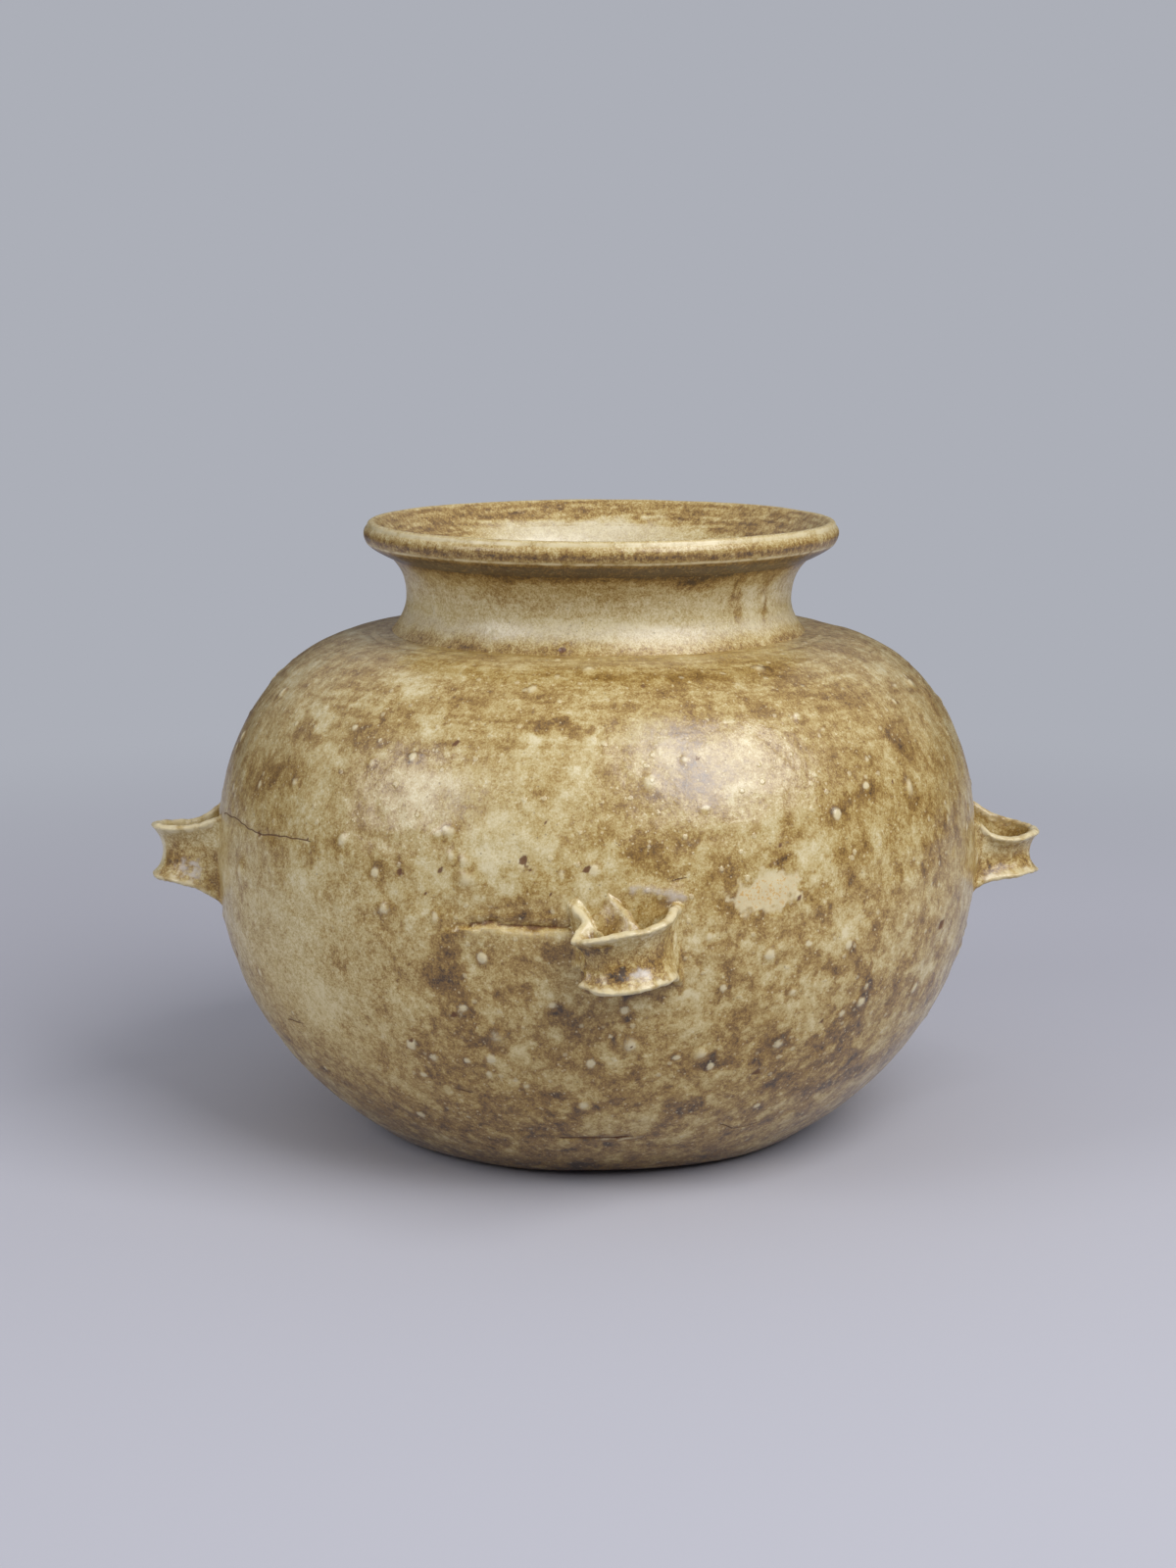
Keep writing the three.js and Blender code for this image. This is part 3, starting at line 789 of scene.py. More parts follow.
def weathered(sheet):
    """Adds the warts, pits, spots, cracks, ledge, bead and scar to a sheet of the body."""
    layers = sheet.layers
    for k, (turn, height, wide, tall) in enumerate([*WARTS, *scattered(260, 31, 0.6, 2.0)]):
        reach = sheet.reach(turn, height, wide, tall)
        sheet.relief += 0.34 * min(wide, tall) * np.exp(-1.1 * reach)
        layers["pale"] += min(1.25, 2.0 / wide) * (0.6 + 0.05 * (7 * k % 10)) * np.exp(-1.1 * reach**1.2)
        over, up = sheet.away(turn, height)
        halo = np.hypot(over / wide - 0.3, up / tall + 0.6)
        layers["tone"] += 0.12 * hump(halo - 1.6, 0.6)
    torn = 0.35 * sheet.lumps(3, 68)
    for turn, height, wide, tall in [*PITS, *scattered(50, 32, 0.3, 0.9)]:
        reach = sheet.reach(turn, height, wide, tall, torn)
        sheet.relief += 0.2 * min(wide, tall) * np.exp(-0.5 * reach) - 0.5 * tall * np.exp(-1.8 * reach)
        layers["dark"] += 1.1 * np.exp(-(reach**1.5))
        layers["pale"] += 0.4 * hump(np.sqrt(reach) - 1.7, 0.5)
    for place in [*IRON_SPOTS, *scattered(40, 33, 0.6, 1.6)]:
        reach = sheet.reach(*place)
        layers["rust"] += 0.6 * np.exp(-1.3 * reach**1.2)
        layers["tone"] += 0.1 * np.exp(-0.5 * reach)
    for path, width in zip(CRACKS, CRACK_WIDTHS):
        cracked(sheet, path, width)
    ledge(sheet)
    bead(sheet)
    deep = within(sheet, SCAR) + 1.3 * sheet.lumps(5, 61) + 0.8 * sheet.lumps(2.4, 66)
    layers["scar"] = np.clip(0.4 + deep / 2.2, 0, 2.4)
    sheet.relief -= 0.2 * np.clip(deep / 0.8, 0, 1)
    layers["tone"] += 0.05 * hump(deep + 1.2, 1.0)


def cracked(sheet, path, width):
    """A dark hairline crack, with a pale lip below it."""
    layers = sheet.layers
    above, gap = near_path(sheet, path)
    above = above + 0.2 * sheet.lumps(7, 67)
    beside = gap < 2.4
    layers["crack"] = np.where(beside, above / width, layers["crack"])
    layers["split"] = np.where(beside, np.clip(2 - gap / 1.2, 0, 1), layers["split"])
    sheet.relief -= 0.3 * width * hump(gap, 0.8 * width)
    layers["tone"] += 0.05 * hump(gap, 2)
    layers["pale"] += 0.35 * hump(above + width, 0.6) * beside


def bead(sheet):
    """Glaze gathered in a milky bead on the wall above the front lug, partly painted highlight, and pooled
    under it, partly painted shade.
    """
    gap = near_path(sheet, BEAD)[1] + 0.7 * sheet.lumps(3.4, 65)
    pool_and_shade = np.exp(-sheet.reach(*BEAD_POOL_AND_SHADE))
    sheet.relief += 0.45 * hump(gap, 1.6)
    sheet.layers["milk"] += 0.65 * hump(gap, 1.7) + 0.3 * pool_and_shade
    sheet.layers["tone"] += 0.14 * pool_and_shade


def brow(above, sharp, soft):
    """A soft mark whose upper side is sharp and whose lower side fades slowly."""
    return hump(np.maximum(above / sharp, above / -soft), 1)


def ledge(sheet):
    """The short ledge left of the front lug, where the two halves overlap on their seam, with painted
    highlight and shadow.
    """
    above, gap = near_path(sheet, LEDGE)
    wavy = above + 0.35 * sheet.lumps(7, 62) + 0.15 * sheet.lumps(2.5, 63)
    beyond = np.maximum(gap - np.abs(above), 0)
    along = hump(beyond, 3) * (np.abs(above) < 14)
    lip = 0.8 * brow(wavy + 0.7, 0.9, 6)
    crease = 1.2 * hump(wavy - 1.0, 1.0)
    dip = 0.4 * hump(wavy - 4, 4) * (wavy > 0)
    sheet.relief += along * (lip - crease - dip)
    # Painted highlight along the lip, painted shadow in the crease above it, and browner bands above and
    # below, partly painted shade
    sheet.layers["pale"] += along * 0.45 * brow(wavy + 0.4, 0.8, 2.5)
    sheet.layers["dark"] += along * 0.7 * hump(wavy - 0.9, 0.9)
    sheet.layers["tone"] += along * (0.06 * hump(wavy + 7.5, 3.5) + 0.13 * hump(wavy - 2.5, 2.4))


lower_outside, lower_inside = glazed(Sheet("lower_outside"), 1.0), Sheet("lower_inside")
weathered(lower_outside)
throwing(lower_inside, 0.6)
lower_body = dressed(shell("lower_body_glazed", [lower_outside], [lower_inside]), "lower_body")


# Upper body. The upper half of the wall, thrown as a second bowl, turned over and luted on. A
# line was cut round the shoulder while it turned on the wheel, where the neck was to stand, and
# the glaze streaks along the throwing rings beside it.

# How far down the shoulder from the neck the line was cut
LINE_OFFSET = 7.2
# The height where the streaks begin, and over how much more they come in
STREAKS_FROM, STREAKS_OVER = 128, 20
# Painted sheen: milky patches where the lamps' highlights fall: turn, height, half width, half height,
# strength
SHEEN_PATCHES = [
    (-75, 134, 26, 15, 0.42), (-80, 147, 18, 8, 0.3), (-111, 127, 20, 13, 0.32), (-93, 117, 10, 14, 0.2),
    (-150, 160, 12, 4, 0.3),
]


def streaked(sheet, strength, seed):
    """Fine streaks round the wall, as left by a wet brush or fingers on the wheel."""
    ringed = np.stack([sheet.run, np.cos(sheet.turn) * 8, np.sin(sheet.turn) * 8], -1)
    return strength * lumps(ringed, 2.2, seed, 30)


upper_outside, upper_inside = glazed(Sheet("upper_outside"), 1.0), Sheet("upper_inside")
weathered(upper_outside)
layers = upper_outside.layers
# Painted sheen, laid on as milky glaze where the lamps' highlights fall
for *place, strength in SHEEN_PATCHES:
    layers["milk"] += strength * np.exp(-upper_outside.reach(*place))
past_line = upper_outside.run - (run_end["upper_outside"] - LINE_OFFSET)
upper_outside.relief += 0.2 * hump(past_line - 1.4, 0.7) - 0.45 * hump(past_line, 0.7)
layers["pale"] += 0.55 * hump(past_line - 0.8, 0.6)
layers["tone"] += 0.05 * hump(past_line + 1.2, 1.0)
near_neck = np.clip((upper_outside.height - STREAKS_FROM) / STREAKS_OVER, 0, 1)
layers["tone"] += near_neck * streaked(upper_outside, 0.055, 64)
throwing(upper_inside, 0.6)
upper_body = dressed(shell("upper_body_glazed", [upper_outside], [upper_inside]), "upper_body")


# Neck. A short thrown collar, drawn in at its waist and luted round the mouth of the shoulder.
# The glaze is brown where it pooled under the rim and at the foot, and ran down in a few tears;
# under the rim it is darker still with painted shadow, and round the waist paler with painted sheen.

# Turn, height, half width, half height and strength, as for the body's stains; the broad pale one across
# the front at 171 mm is painted sheen
NECK_STAINS = [
    (-65, 185.5, 6, 2.6, 2.0), (-55, 187, 5, 2.0, 1.6), (-49, 182, 1.6, 6, 1.8), (-47, 174, 1.5, 4, 1.3),
    (-34, 174, 1.5, 2.6, 1.9), (-36, 183, 2.2, 4, 1.1), (-80, 187, 5, 2.0, 1.0), (-113, 186.5, 7, 2, 0.8),
    (-126, 164.4, 9, 1.5, 0.8), (-100, 165, 4, 1.8, 1.0), (-150, 165, 8, 2.0, 0.8), (-27, 164.4, 9, 1.6, 0.7),
    (-88, 181, 9, 2.5, 0.5), (-105, 178, 5, 3, 0.4), (-118, 180, 5, 3, 0.5), (-42, 178, 2, 5, -0.9),
    (-92, 171, 32, 3.2, -0.7), (-40, 170, 5, 2.5, -0.7), (-30, 180, 3, 4, -0.6), (20, 182, 5, 4, 1.0),
    (60, 176, 2, 7, 1.3), (75, 185, 7, 3, 1.2), (110, 180, 2, 6, 1.1), (140, 172, 8, 4, -0.8),
    (165, 184, 6, 3, 1.2),
]
# Bumps of grit, and a blister with a brown rim: turn, height, half width and half height
NECK_BUMPS = [(-36, 177.3, 1.5, 1.9), (-145, 173.8, 1.6, 1.3), (-120, 168.6, 1.2, 1.0), (-70, 176, 0.8, 0.8)]
NECK_RING = (-99.7, 164.8, 1.7, 1.5)
# How brown the glaze is at some heights: paler round the waist, partly painted sheen, and browner just
# under the rim, partly painted shadow
NECK_HEIGHTS = (163.2, 164.5, 167, 171, 176, 181, 185, 187.2)
NECK_TONES = (0.11, 0.05, -0.07, -0.13, -0.12, -0.07, 0.05, 0.26)
# The middle and the spread, in degrees, of the painted light, as milky glaze, on the far side inside the neck
LIT_WITHIN_TURN, LIT_WITHIN_SPREAD = 97, 38


def lit_within(sheet):
    """1 on the far side of the mouth, where light falling in is painted as paler, milky glaze, falling off to
    0.
    """
    return np.exp(-(((np.degrees(sheet.turn) - LIT_WITHIN_TURN) / LIT_WITHIN_SPREAD) ** 4))


neck_outside, neck_within = Sheet("neck_outside"), Sheet("neck_inside")
throwing(neck_outside, 0.6)
layers = neck_outside.layers
rise = neck_outside.height + 0.6 * neck_outside.lumps(14, 71) + 0.35 * neck_outside.lumps(4, 72)
layers["calm"] += 0.75
layers["tone"] += np.interp(rise, NECK_HEIGHTS, NECK_TONES) + streaked(neck_outside, 0.03, 75)
layers["tone"] += 0.02 * neck_outside.lumps(16, 73) + 0.015 * neck_outside.lumps(5, 74)
stray = 0.8 * neck_outside.lumps(4, 76)
for *place, strength in NECK_STAINS:
    layers["tone"] += 0.19 * strength * np.exp(-neck_outside.reach(*place, stray))
for turn, height, wide, tall in NECK_BUMPS:
    reach = neck_outside.reach(turn, height, wide, tall)
    neck_outside.relief += 0.35 * wide * np.exp(-1.3 * reach)
    layers["pale"] += 0.95 * np.exp(-1.2 * reach)
ring = np.sqrt(neck_outside.reach(*NECK_RING))
layers["rust"] += 0.9 * np.exp(-((ring / 0.85) ** 4))
# The paler milky band round the waist is painted sheen; the blister's middle is milky
layers["milk"] += 0.42 * hump(rise - 169.5, 4) + 0.5 * hump(ring - 0.45, 0.2)
neck_outside.relief += 0.25 * hump(ring - 0.9, 0.5) - 0.2 * hump(ring, 0.5)
seat = neck_outside.run - run_start["neck_outside"]
layers["dark"] += 0.35 * hump(seat, 0.7) * (0.8 + 0.4 * neck_outside.lumps(9, 77))
throwing(neck_within, 0.5)
layers = neck_within.layers
# Inside the neck: painted light on the far side, as paler milky glaze, and browner elsewhere, partly painted
# shade
wavering = 2.2 * neck_within.lumps(22, 88) + 1.1 * neck_within.lumps(6, 89)
below_rim = mouth_edge[1] - neck_within.height + wavering
lit_inside = lit_within(neck_within)
browner = 0.30 * hump(np.maximum(below_rim, 0), 2.0) + 0.22
layers["tone"] += 0.04 * neck_within.lumps(12, 78) - 0.24 + browner * (1 - lit_inside)
layers["calm"] += 0.6
layers["milk"] += 0.45 * lit_inside
neck = dressed(shell("neck_glazed", [neck_outside], [neck_within]), "neck")


# Rim. The lip turned out and down into a roll with a sharp ridge below and a sloping face within.
# The glaze drew off its edges, which are pale, and left short brown strokes round the roll; its
# underside is browner, partly painted shadow, and the far side of the sloping face is painted paler as
# light falling in.

rim_all = Sheet("rim_all")
throwing(rim_all, 0.5)
layers, run = rim_all.layers, rim_all.run
ridge_run = run_start["rim_all"] + run_along(under_rim)[-1]
roll_end = ridge_run + run_along(roll)[-1]
lip_end = roll_end + run_along(lip)[-1]
mouth_run = run_end["rim_all"]
round_about = np.stack([np.cos(rim_all.turn), np.sin(rim_all.turn)], -1)
strokes = np.concatenate([round_about * 76, run[..., None] * 0.35], -1)
brushed = 0.8 * lumps(strokes, 2.0, 81, 40) + 0.3 * lumps(strokes, 5, 82, 30)
ringed = np.concatenate([run[..., None] * 2.4, round_about * 22], -1)
wiped = 0.7 * lumps(ringed, 6, 86, 40) + 0.4 * rim_all.lumps(5, 87)
worn = 0.25 * rim_all.lumps(9, 83) + 0.2 * rim_all.lumps(3, 84)
# How brown the glaze is at some places from the rim's underside over its roll to the mouth; the dark
# underside is partly painted shadow
rim_tones = [
    (run_start["rim_all"], 0.48), (ridge_run - 2.0, 0.44), (ridge_run, 0.14), (ridge_run + 1.0, 0.06),
    (ridge_run + 2.4, 0.31), (roll_end - 1.8, 0.08), (roll_end, -0.04), (lip_end, -0.07),
    (lip_end + 2.0, 0.14), (lip_end + 6.0, 0.15), (mouth_run - 1.5, 0.19), (mouth_run, 0.20),
]
on_roll = hump(run - (ridge_run + roll_end) / 2, 2.6)
on_bevel = np.clip((run - lip_end) / 2, 0, 1)
# On the sloping face near the mouth, the far side is painted paler and milkier as light falling in
to_mouth = mouth_run - run + 1.5 * rim_all.lumps(16, 90) + 0.8 * rim_all.lumps(5, 91)
lit_inside = lit_within(rim_all) * np.clip((5.2 - to_mouth) / 3.6, 0, 1)
layers["tone"] += np.interp(run + worn, *zip(*rim_tones)) - 0.36 * lit_inside
layers["tone"] += 0.1 * brushed * on_roll + 0.12 * wiped * on_bevel
layers["calm"] += 0.75
layers["milk"] += 0.45 * lit_inside
layers["pale"] += 0.75 * hump(run - roll_end - 0.6, 1.0) * (0.9 + worn)
layers["pale"] += 0.8 * hump(run - ridge_run - 0.3, 0.55) * (0.85 + worn)
rim_all.relief += 0.12 * rim_all.lumps(11, 85) * on_bevel * np.clip((mouth_run - run) / 2, 0, 1)
rim = dressed(shell("rim_glazed", [rim_all], []), "rim")


# Lugs. Four short straps of clay, bent into loops and luted round the belly to hold a cord. Each
# was pressed hollow along its outer face with a finger and smeared down at its roots, and its
# pared edges show pale through the glaze. The front one was knocked in on its left while it was
# soft: that strand has buckled, and two folds of clay half fill the hole behind it.

# In millimetres: half a strap's thickness, how much thicker it is at its edges and its roots, the
# fillet at its roots, how far its clay runs out round them, how deep into the wall, and how far
# under the wall's face it lies there
STRAP_HALF = 0.85
EDGE_SWELL = 0.42
ROOT_SWELL = 0.5
ROOT_BLEND = 1.5
SKIRT = 3.4
SKIRT_DEPTH = 1.6
BELOW_WALL = 0.22
# How far out from the jar's axis a strap begins to tilt, and is tilted all the way
TILT_FROM, TILT_FULL = 121.0, 132.0
# Where across a strap its left end is tucked in, how broadly, and how far out it has buckled
TUCK_ASIDE, TUCK_SPREAD = -12, 5
BUCKLED_WITHIN = 138
# The box that a lug is worked out in: how far out, how far to each side, and how far under and
# over its middle; how far off the strap's line, the step, and a value that stands for no clay
BOX_NEAR, BOX_FAR = 121.0, 148.5
BOX_SIDE = 22.0
BOX_UNDER, BOX_OVER = 21.0, 22.0
KEPT_OUTWARDS, KEPT_INWARDS = 5.0, 14.0
GRID_STEP = 0.42
CLEAR = 2.0
# The wall's skin is looked up between these heights
SKIN_FROM, SKIN_TO = 55, 125

# For each: turn, height of its middle, tilt, how far its left end is tucked in below, and along
# the strap the distance from the jar's axis, the distance across, the edges' heights over and
# under the middle, and the hollow's depth
LUGS = {
    "front": (-86.9, 86.8, 8.1, 2.2, [
        (118.5, -14.4, 13.0, 13.6, 0), (122.0, -13.6, 12.4, 12.4, 0.2), (125.6, -12.8, 11.2, 11.2, 0.9),
        (130.6, -10.4, 9.8, 8.8, 1.6), (134.6, -12.6, 7.0, 7.2, 2.2), (138.6, -13.2, 6.1, 6.2, 2.9),
        (142.9, -7.9, 6.9, 7.7, 3.0), (144.1, -0.4, 7.6, 8.4, 3.0), (142.9, 7.1, 7.6, 8.4, 3.0),
        (137.9, 12.6, 8.5, 8.6, 2.8), (131.0, 14.9, 9.6, 9.6, 2.0), (126.0, 15.9, 9.6, 10.4, 0.8),
        (120.0, 17.4, 10.4, 12.0, 0),
    ]),
    "right": (-2.1, 89.1, -5.4, 0, [
        (119.5, -17, 15.9, 9.5, 0), (125.2, -15, 11, 7.4, 0.8), (129.9, -14, 6.6, 6.4, 2),
        (136.6, -11.9, 5.5, 5.8, 2.7), (142.3, -6.8, 6.6, 5, 2.5), (144.5, 0.1, 7.1, 5.3, 2.2),
        (143.2, 7, 7.8, 6.6, 2.6), (138.2, 11.9, 8.9, 8.2, 2.7), (131.5, 13.9, 10.9, 9.4, 2),
        (126.1, 15, 13.4, 10.6, 0.8), (119.8, 17, 16, 11.6, 0),
    ]),
    "back": (94.0, 88.8, 5.0, 0.6, [
        (119.5, -17, 15.2, 15.2, 0), (125.6, -15.2, 11.6, 12.2, 0.8), (131, -14.4, 8.6, 9.4, 2),
        (137.4, -12.2, 7.8, 7.8, 2.8), (142.6, -7.2, 8.2, 7.4, 2.9), (144.4, 0.2, 8.6, 7.2, 2.8),
        (142.8, 7.3, 8.4, 7.6, 2.9), (137.6, 12.1, 8.2, 8.2, 2.8), (131, 14.2, 9.2, 9.8, 2),
        (125.6, 15.2, 11.8, 12.2, 0.8), (119.7, 17, 15, 15.2, 0),
    ]),
    "left": (184.5, 90.9, 5.7, 0, [
        (119.3, -17, 15.1, 15.7, 0), (125.6, -15, 11.8, 12.9, 0.8), (130.7, -14, 8.9, 10.1, 2),
        (137.6, -12, 8.1, 7.9, 2.8), (143.3, -7, 8.4, 7.1, 2.9), (145.2, 0, 8.7, 7, 2.9),
        (143.4, 7, 8.6, 7.5, 3), (137.8, 12, 8.4, 8.3, 2.8), (130.8, 14, 9.4, 10.2, 2),
        (125.5, 15, 11.8, 12.3, 0.8), (119.3, 17, 14.8, 14.9, 0),
    ]),
}
# Folds of the front lug: along each crest, the distance out, the distance across and the height
FOLDS = [
    [(122.5, -13.0, 100.4), (125.0, -12.2, 98.8), (130.0, -10.2, 95.4), (135.0, -6.9, 93.4)],
    [(122.5, -4.4, 102.2), (125.0, -3.2, 101.0), (129.0, 0.2, 98.8), (132.5, 2.0, 96.0), (135.0, 2.6, 91.0)],
]
# For each fold: how steep its left and right sides are, how broad its right side, how round its
# crest, and where it ends
FOLD_SIDES = [(3.0, 1.4, 3.0, 1.0, 136.5), (2.2, 1.0, 2.6, 1.3, 136.0)]
FOLD_FLOOR = 81.0
# Spots on the straps, by layer: distance out, across and height, size, and how much they add. On the
# front lug the milk spots at 82 mm are painted glints, and the brown spots under its upper edge, between
# its folds and in the hole behind it are partly painted shade, as is the right lug's dark spot
STRAP_SPOTS_AND_PAINTED_LIGHT = {
    "front": {
        "tone": [
            (143, -3.2, 81.1, 1.3, 0.5), (143.4, -1.4, 82.4, 1.6, 0.5), (143.4, 0, 83.8, 1.7, 0.4),
            (139.6, -12.6, 89, 2.4, 0.34), (142, -9, 89.6, 2.4, 0.36), (143.3, -5, 90.4, 2.2, 0.3),
            (139, 12, 88, 4.5, 0.16), (141, 9.6, 85, 3, 0.12), (134, -9.4, 92.4, 2, 0.22),
            (129.8, -3.2, 95.6, 2.6, 0.14), (126.4, -4.4, 99.6, 2, 0.12), (134, -3, 92, 2.6, 0.22),
            (128, 9, 92, 5, 0.24),
        ],
        "pale": [(143, -6, 80.6, 0.8, 0.8)],
        "milk": [
            (143.2, 3.4, 82.4, 2.6, 0.7), (142.4, 6.4, 82.6, 2.2, 0.5), (128, 2, 96, 3, 0.4),
        ],
    },
    "left": {
        "milk": [
            (134.6, 13.2, 88, 3.8, 0.65), (131.6, 13.8, 86.6, 3, 0.4),
        ],
        "dark": [(131.2, 13.8, 86.2, 2.4, 0.36)],
        "tone": [
            (140, 10, 93, 2.8, 0.2), (141.6, 8.6, 83.6, 2, 0.2), (127, 14.6, 92, 4, 0.2),
            (126.4, 14.9, 83, 3, 0.24), (137.6, 11.6, 95, 2.4, 0.14),
        ],
    },
    "right": {
        "dark": [(130, -14, 83.4, 2.6, 0.4)],
        "tone": [
            (128.4, -14.6, 86.4, 3.4, 0.3), (138, -11.2, 90, 3.4, 0.14), (138, -6, 90, 4, 0.1),
            (141.6, -7.6, 86, 2.6, 0.16),
        ],
        "pale": [(131, -8, 93, 3, 0.5)],
    },
    "back": {
        "milk": [(139, -11, 86, 3, 0.6)],
        "tone": [
            (137, 12, 91, 3, 0.24), (131, 14, 84, 2.4, 0.3), (143.4, -3, 88, 3.2, 0.2),
        ],
    },
}


def threaded(points, count):
    """A smooth line through points, as that many points along it."""
    ends = [2 * points[0] - points[1], *points, 2 * points[-1] - points[-2]]
    before, a, b, after = (np.array(ends[k : len(points) - 1 + k]) for k in range(4))
    place = np.linspace(0, len(points) - 1, count)
    part = np.minimum(place.astype(int), len(points) - 2)
    t = (place - part)[:, None]
    before, a, b, after = before[part], a[part], b[part], after[part]
    curve = 2 * a + (b - before) * t + (2 * before - 5 * a + 4 * b - after) * t**2
    return (curve + (3 * a - before - 3 * b + after) * t**3) / 2


def beside_strap(places, line):
    """For places in plan: how far inwards of the strap's line, and what the line has there."""
    way = np.diff(line[:, :2], axis=0)
    away = places[:, None] - line[:-1, :2]
    share = np.clip((away * way).sum(-1) / (way**2).sum(-1), 0, 1)
    gap = np.linalg.norm(away - share[..., None] * way, axis=-1)
    nearest = gap.argmin(1)
    each = np.arange(len(places))
    away, way = away[each, nearest], way[nearest]
    side = np.sign(way[:, 0] * away[:, 1] - way[:, 1] * away[:, 0])
    there = line[nearest] + share[each, nearest][:, None] * (line[nearest + 1] - line[nearest])
    return side * gap[each, nearest], there


def strap_gap(height, inward, there, middle, tilt, tuck):
    """How far places are from a strap's middle layer and across it, and its half width there."""
    out, aside, over, under, hollow = np.moveaxis(there, -1, 0)
    free = np.clip((out - TILT_FROM) / (TILT_FULL - TILT_FROM), 0, 1)
    half = (over + under) / 2
    across = (height - middle - (over - under) / 2 - math.tan(math.radians(tilt)) * free * aside) / half
    buckled = 1 + 0.9 * np.clip((BUCKLED_WITHIN - out) / 6, 0, 1)
    tucked = tuck * buckled * hump(aside - TUCK_ASIDE, TUCK_SPREAD) * (1 - across) / 2
    pressed = hollow * np.maximum(1 - across**2, 0) + tucked
    slope = 2 * hollow * np.clip(across, -1, 1) / half
    off = np.abs(inward - pressed) / np.sqrt(1 + slope**2)
    return np.hypot(off, np.maximum(np.abs(across) - 1, 0) * half), across, half


def turned(points, turn):
    """Points of a lug's own frame as places round the jar."""
    swing = math.radians(turn)
    across = points[:, 0] * math.cos(swing) - points[:, 1] * math.sin(swing)
    deep = points[:, 0] * math.sin(swing) + points[:, 1] * math.cos(swing)
    return np.stack([across, deep, points[:, 2]], 1)


def skin_of(sheet, rows):
    """The heights of some rows of a sheet, and how far out their points are."""
    return sheet.height[rows, 0], (sheet.radius + sheet.relief * sheet.out)[rows]


skin_below = skin_of(lower_outside, lower_outside.height[:, 0] > SKIN_FROM)
skin_above = skin_of(upper_outside, upper_outside.height[:, 0] < SKIN_TO)
skin_heights, skin_radii = (
    np.concatenate([below, above[1:]]) for below, above in zip(skin_below, skin_above)
)


def body_gap(points, turn):
    """How far points of a lug's own frame stand off the skin of the body."""
    across, deep, height = turned(points, turn).T
    across = across - lean(height)
    row = np.interp(height, skin_heights, np.arange(len(skin_heights)))
    turns = column_turns()
    column = np.interp(np.arctan2(deep, across), [*turns, turns[0] + 2 * math.pi], np.arange(COLUMNS + 1))
    low, left = np.minimum(row.astype(int), len(skin_heights) - 2), column.astype(int)
    up, over = row - low, column - left
    reach = 0
    for r, share_up in ((low, 1 - up), (low + 1, up)):
        for c, share_over in ((left, 1 - over), (left + 1, over)):
            reach = reach + share_up * share_over * skin_radii[r, c % COLUMNS]
    slope = np.interp(height, outline[outer_runs, 1], facing[outer_runs, 0])
    return (np.hypot(across, deep) - reach) * slope


def melted(first, second, reach):
    """Two clay forms run together, with a fillet of about that reach between them."""
    share = np.clip(0.5 + 0.5 * (second - first) / reach, 0, 1)
    return second * (1 - share) + first * share - reach * share * (1 - share)


def fold_gap(points, crest, sides):
    """How far points stand off a fold of clay, steep on its left and broad on its right."""
    left, right, broad, crown, end = sides
    out, aside, height = points.T
    crest_out, crest_aside, crest_height = np.array(crest).T
    off = aside - np.interp(out, crest_out, crest_aside)
    past = np.maximum(off - broad, 0)
    fall = np.where(off < 0, -left * off, right * off + 0.9 * past**2)
    slope = np.where(off < 0, left, right + 1.8 * past)
    top = np.interp(out, crest_out, crest_height) - np.hypot(fall, crown) + crown
    return np.maximum((height - top) / np.sqrt(1 + slope**2), np.maximum(FOLD_FLOOR - height, out - end))


def near_line(points, corners):
    """How far points are from a line through corners."""
    nearest = np.full(len(points), 1e3)
    for start, end in zip(np.array(corners[:-1]), np.array(corners[1:])):
        way = end - start
        share = np.clip((points - start) @ way / (way @ way), 0, 1)
        nearest = np.minimum(nearest, np.linalg.norm(points - start - share[:, None] * way, axis=1))
    return nearest


def clay_skin(field, corner, step):
    """Points and four-sided faces round the part of a grid of values that is below zero."""
    cells = tuple(n - 1 for n in field.shape)
    total, count = np.zeros((*cells, 3)), np.zeros(cells)
    ends = [(i, j, k) for i in (0, 1) for j in (0, 1) for k in (0, 1)]
    part = {e: field[tuple(slice(o, o + n) for o, n in zip(e, cells))] for e in ends}
    for a in ends:
        for axis in range(3):
            if a[axis]:
                continue
            b = tuple(1 if k == axis else v for k, v in enumerate(a))
            crossed = (part[a] < 0) != (part[b] < 0)
            share = np.where(crossed, part[a] / np.where(crossed, part[a] - part[b], 1), 0)
            for k in range(3):
                total[..., k] += np.where(crossed, a[k] + (share if k == axis else 0), 0)
            count += crossed
    held = count > 0
    index = np.full(cells, -1)
    index[held] = np.arange(held.sum())
    places = np.stack(np.nonzero(held), 1) + total[held] / count[held][:, None]
    faces = []
    for axis in range(3):
        near = [slice(1, n) for n in cells]
        near[axis] = slice(0, cells[axis])
        ahead = [slice(1, n) for n in cells]
        ahead[axis] = slice(1, cells[axis] + 1)
        first, second = field[tuple(near)], field[tuple(ahead)]
        found = np.stack(np.nonzero((first < 0) != (second < 0)), 1)
        over, up = (np.eye(3, dtype=int)[k] for k in range(3) if k != axis)
        quads = [index[tuple(q.T)] for q in (found, found + over, found + over + up, found + up)]
        quads = np.stack(quads, 1)
        rising = (first < 0)[tuple(found.T)] ^ (axis == 1)
        faces.append(np.where(rising[:, None], quads, quads[:, ::-1]))
    return places * step + corner, np.concatenate(faces)


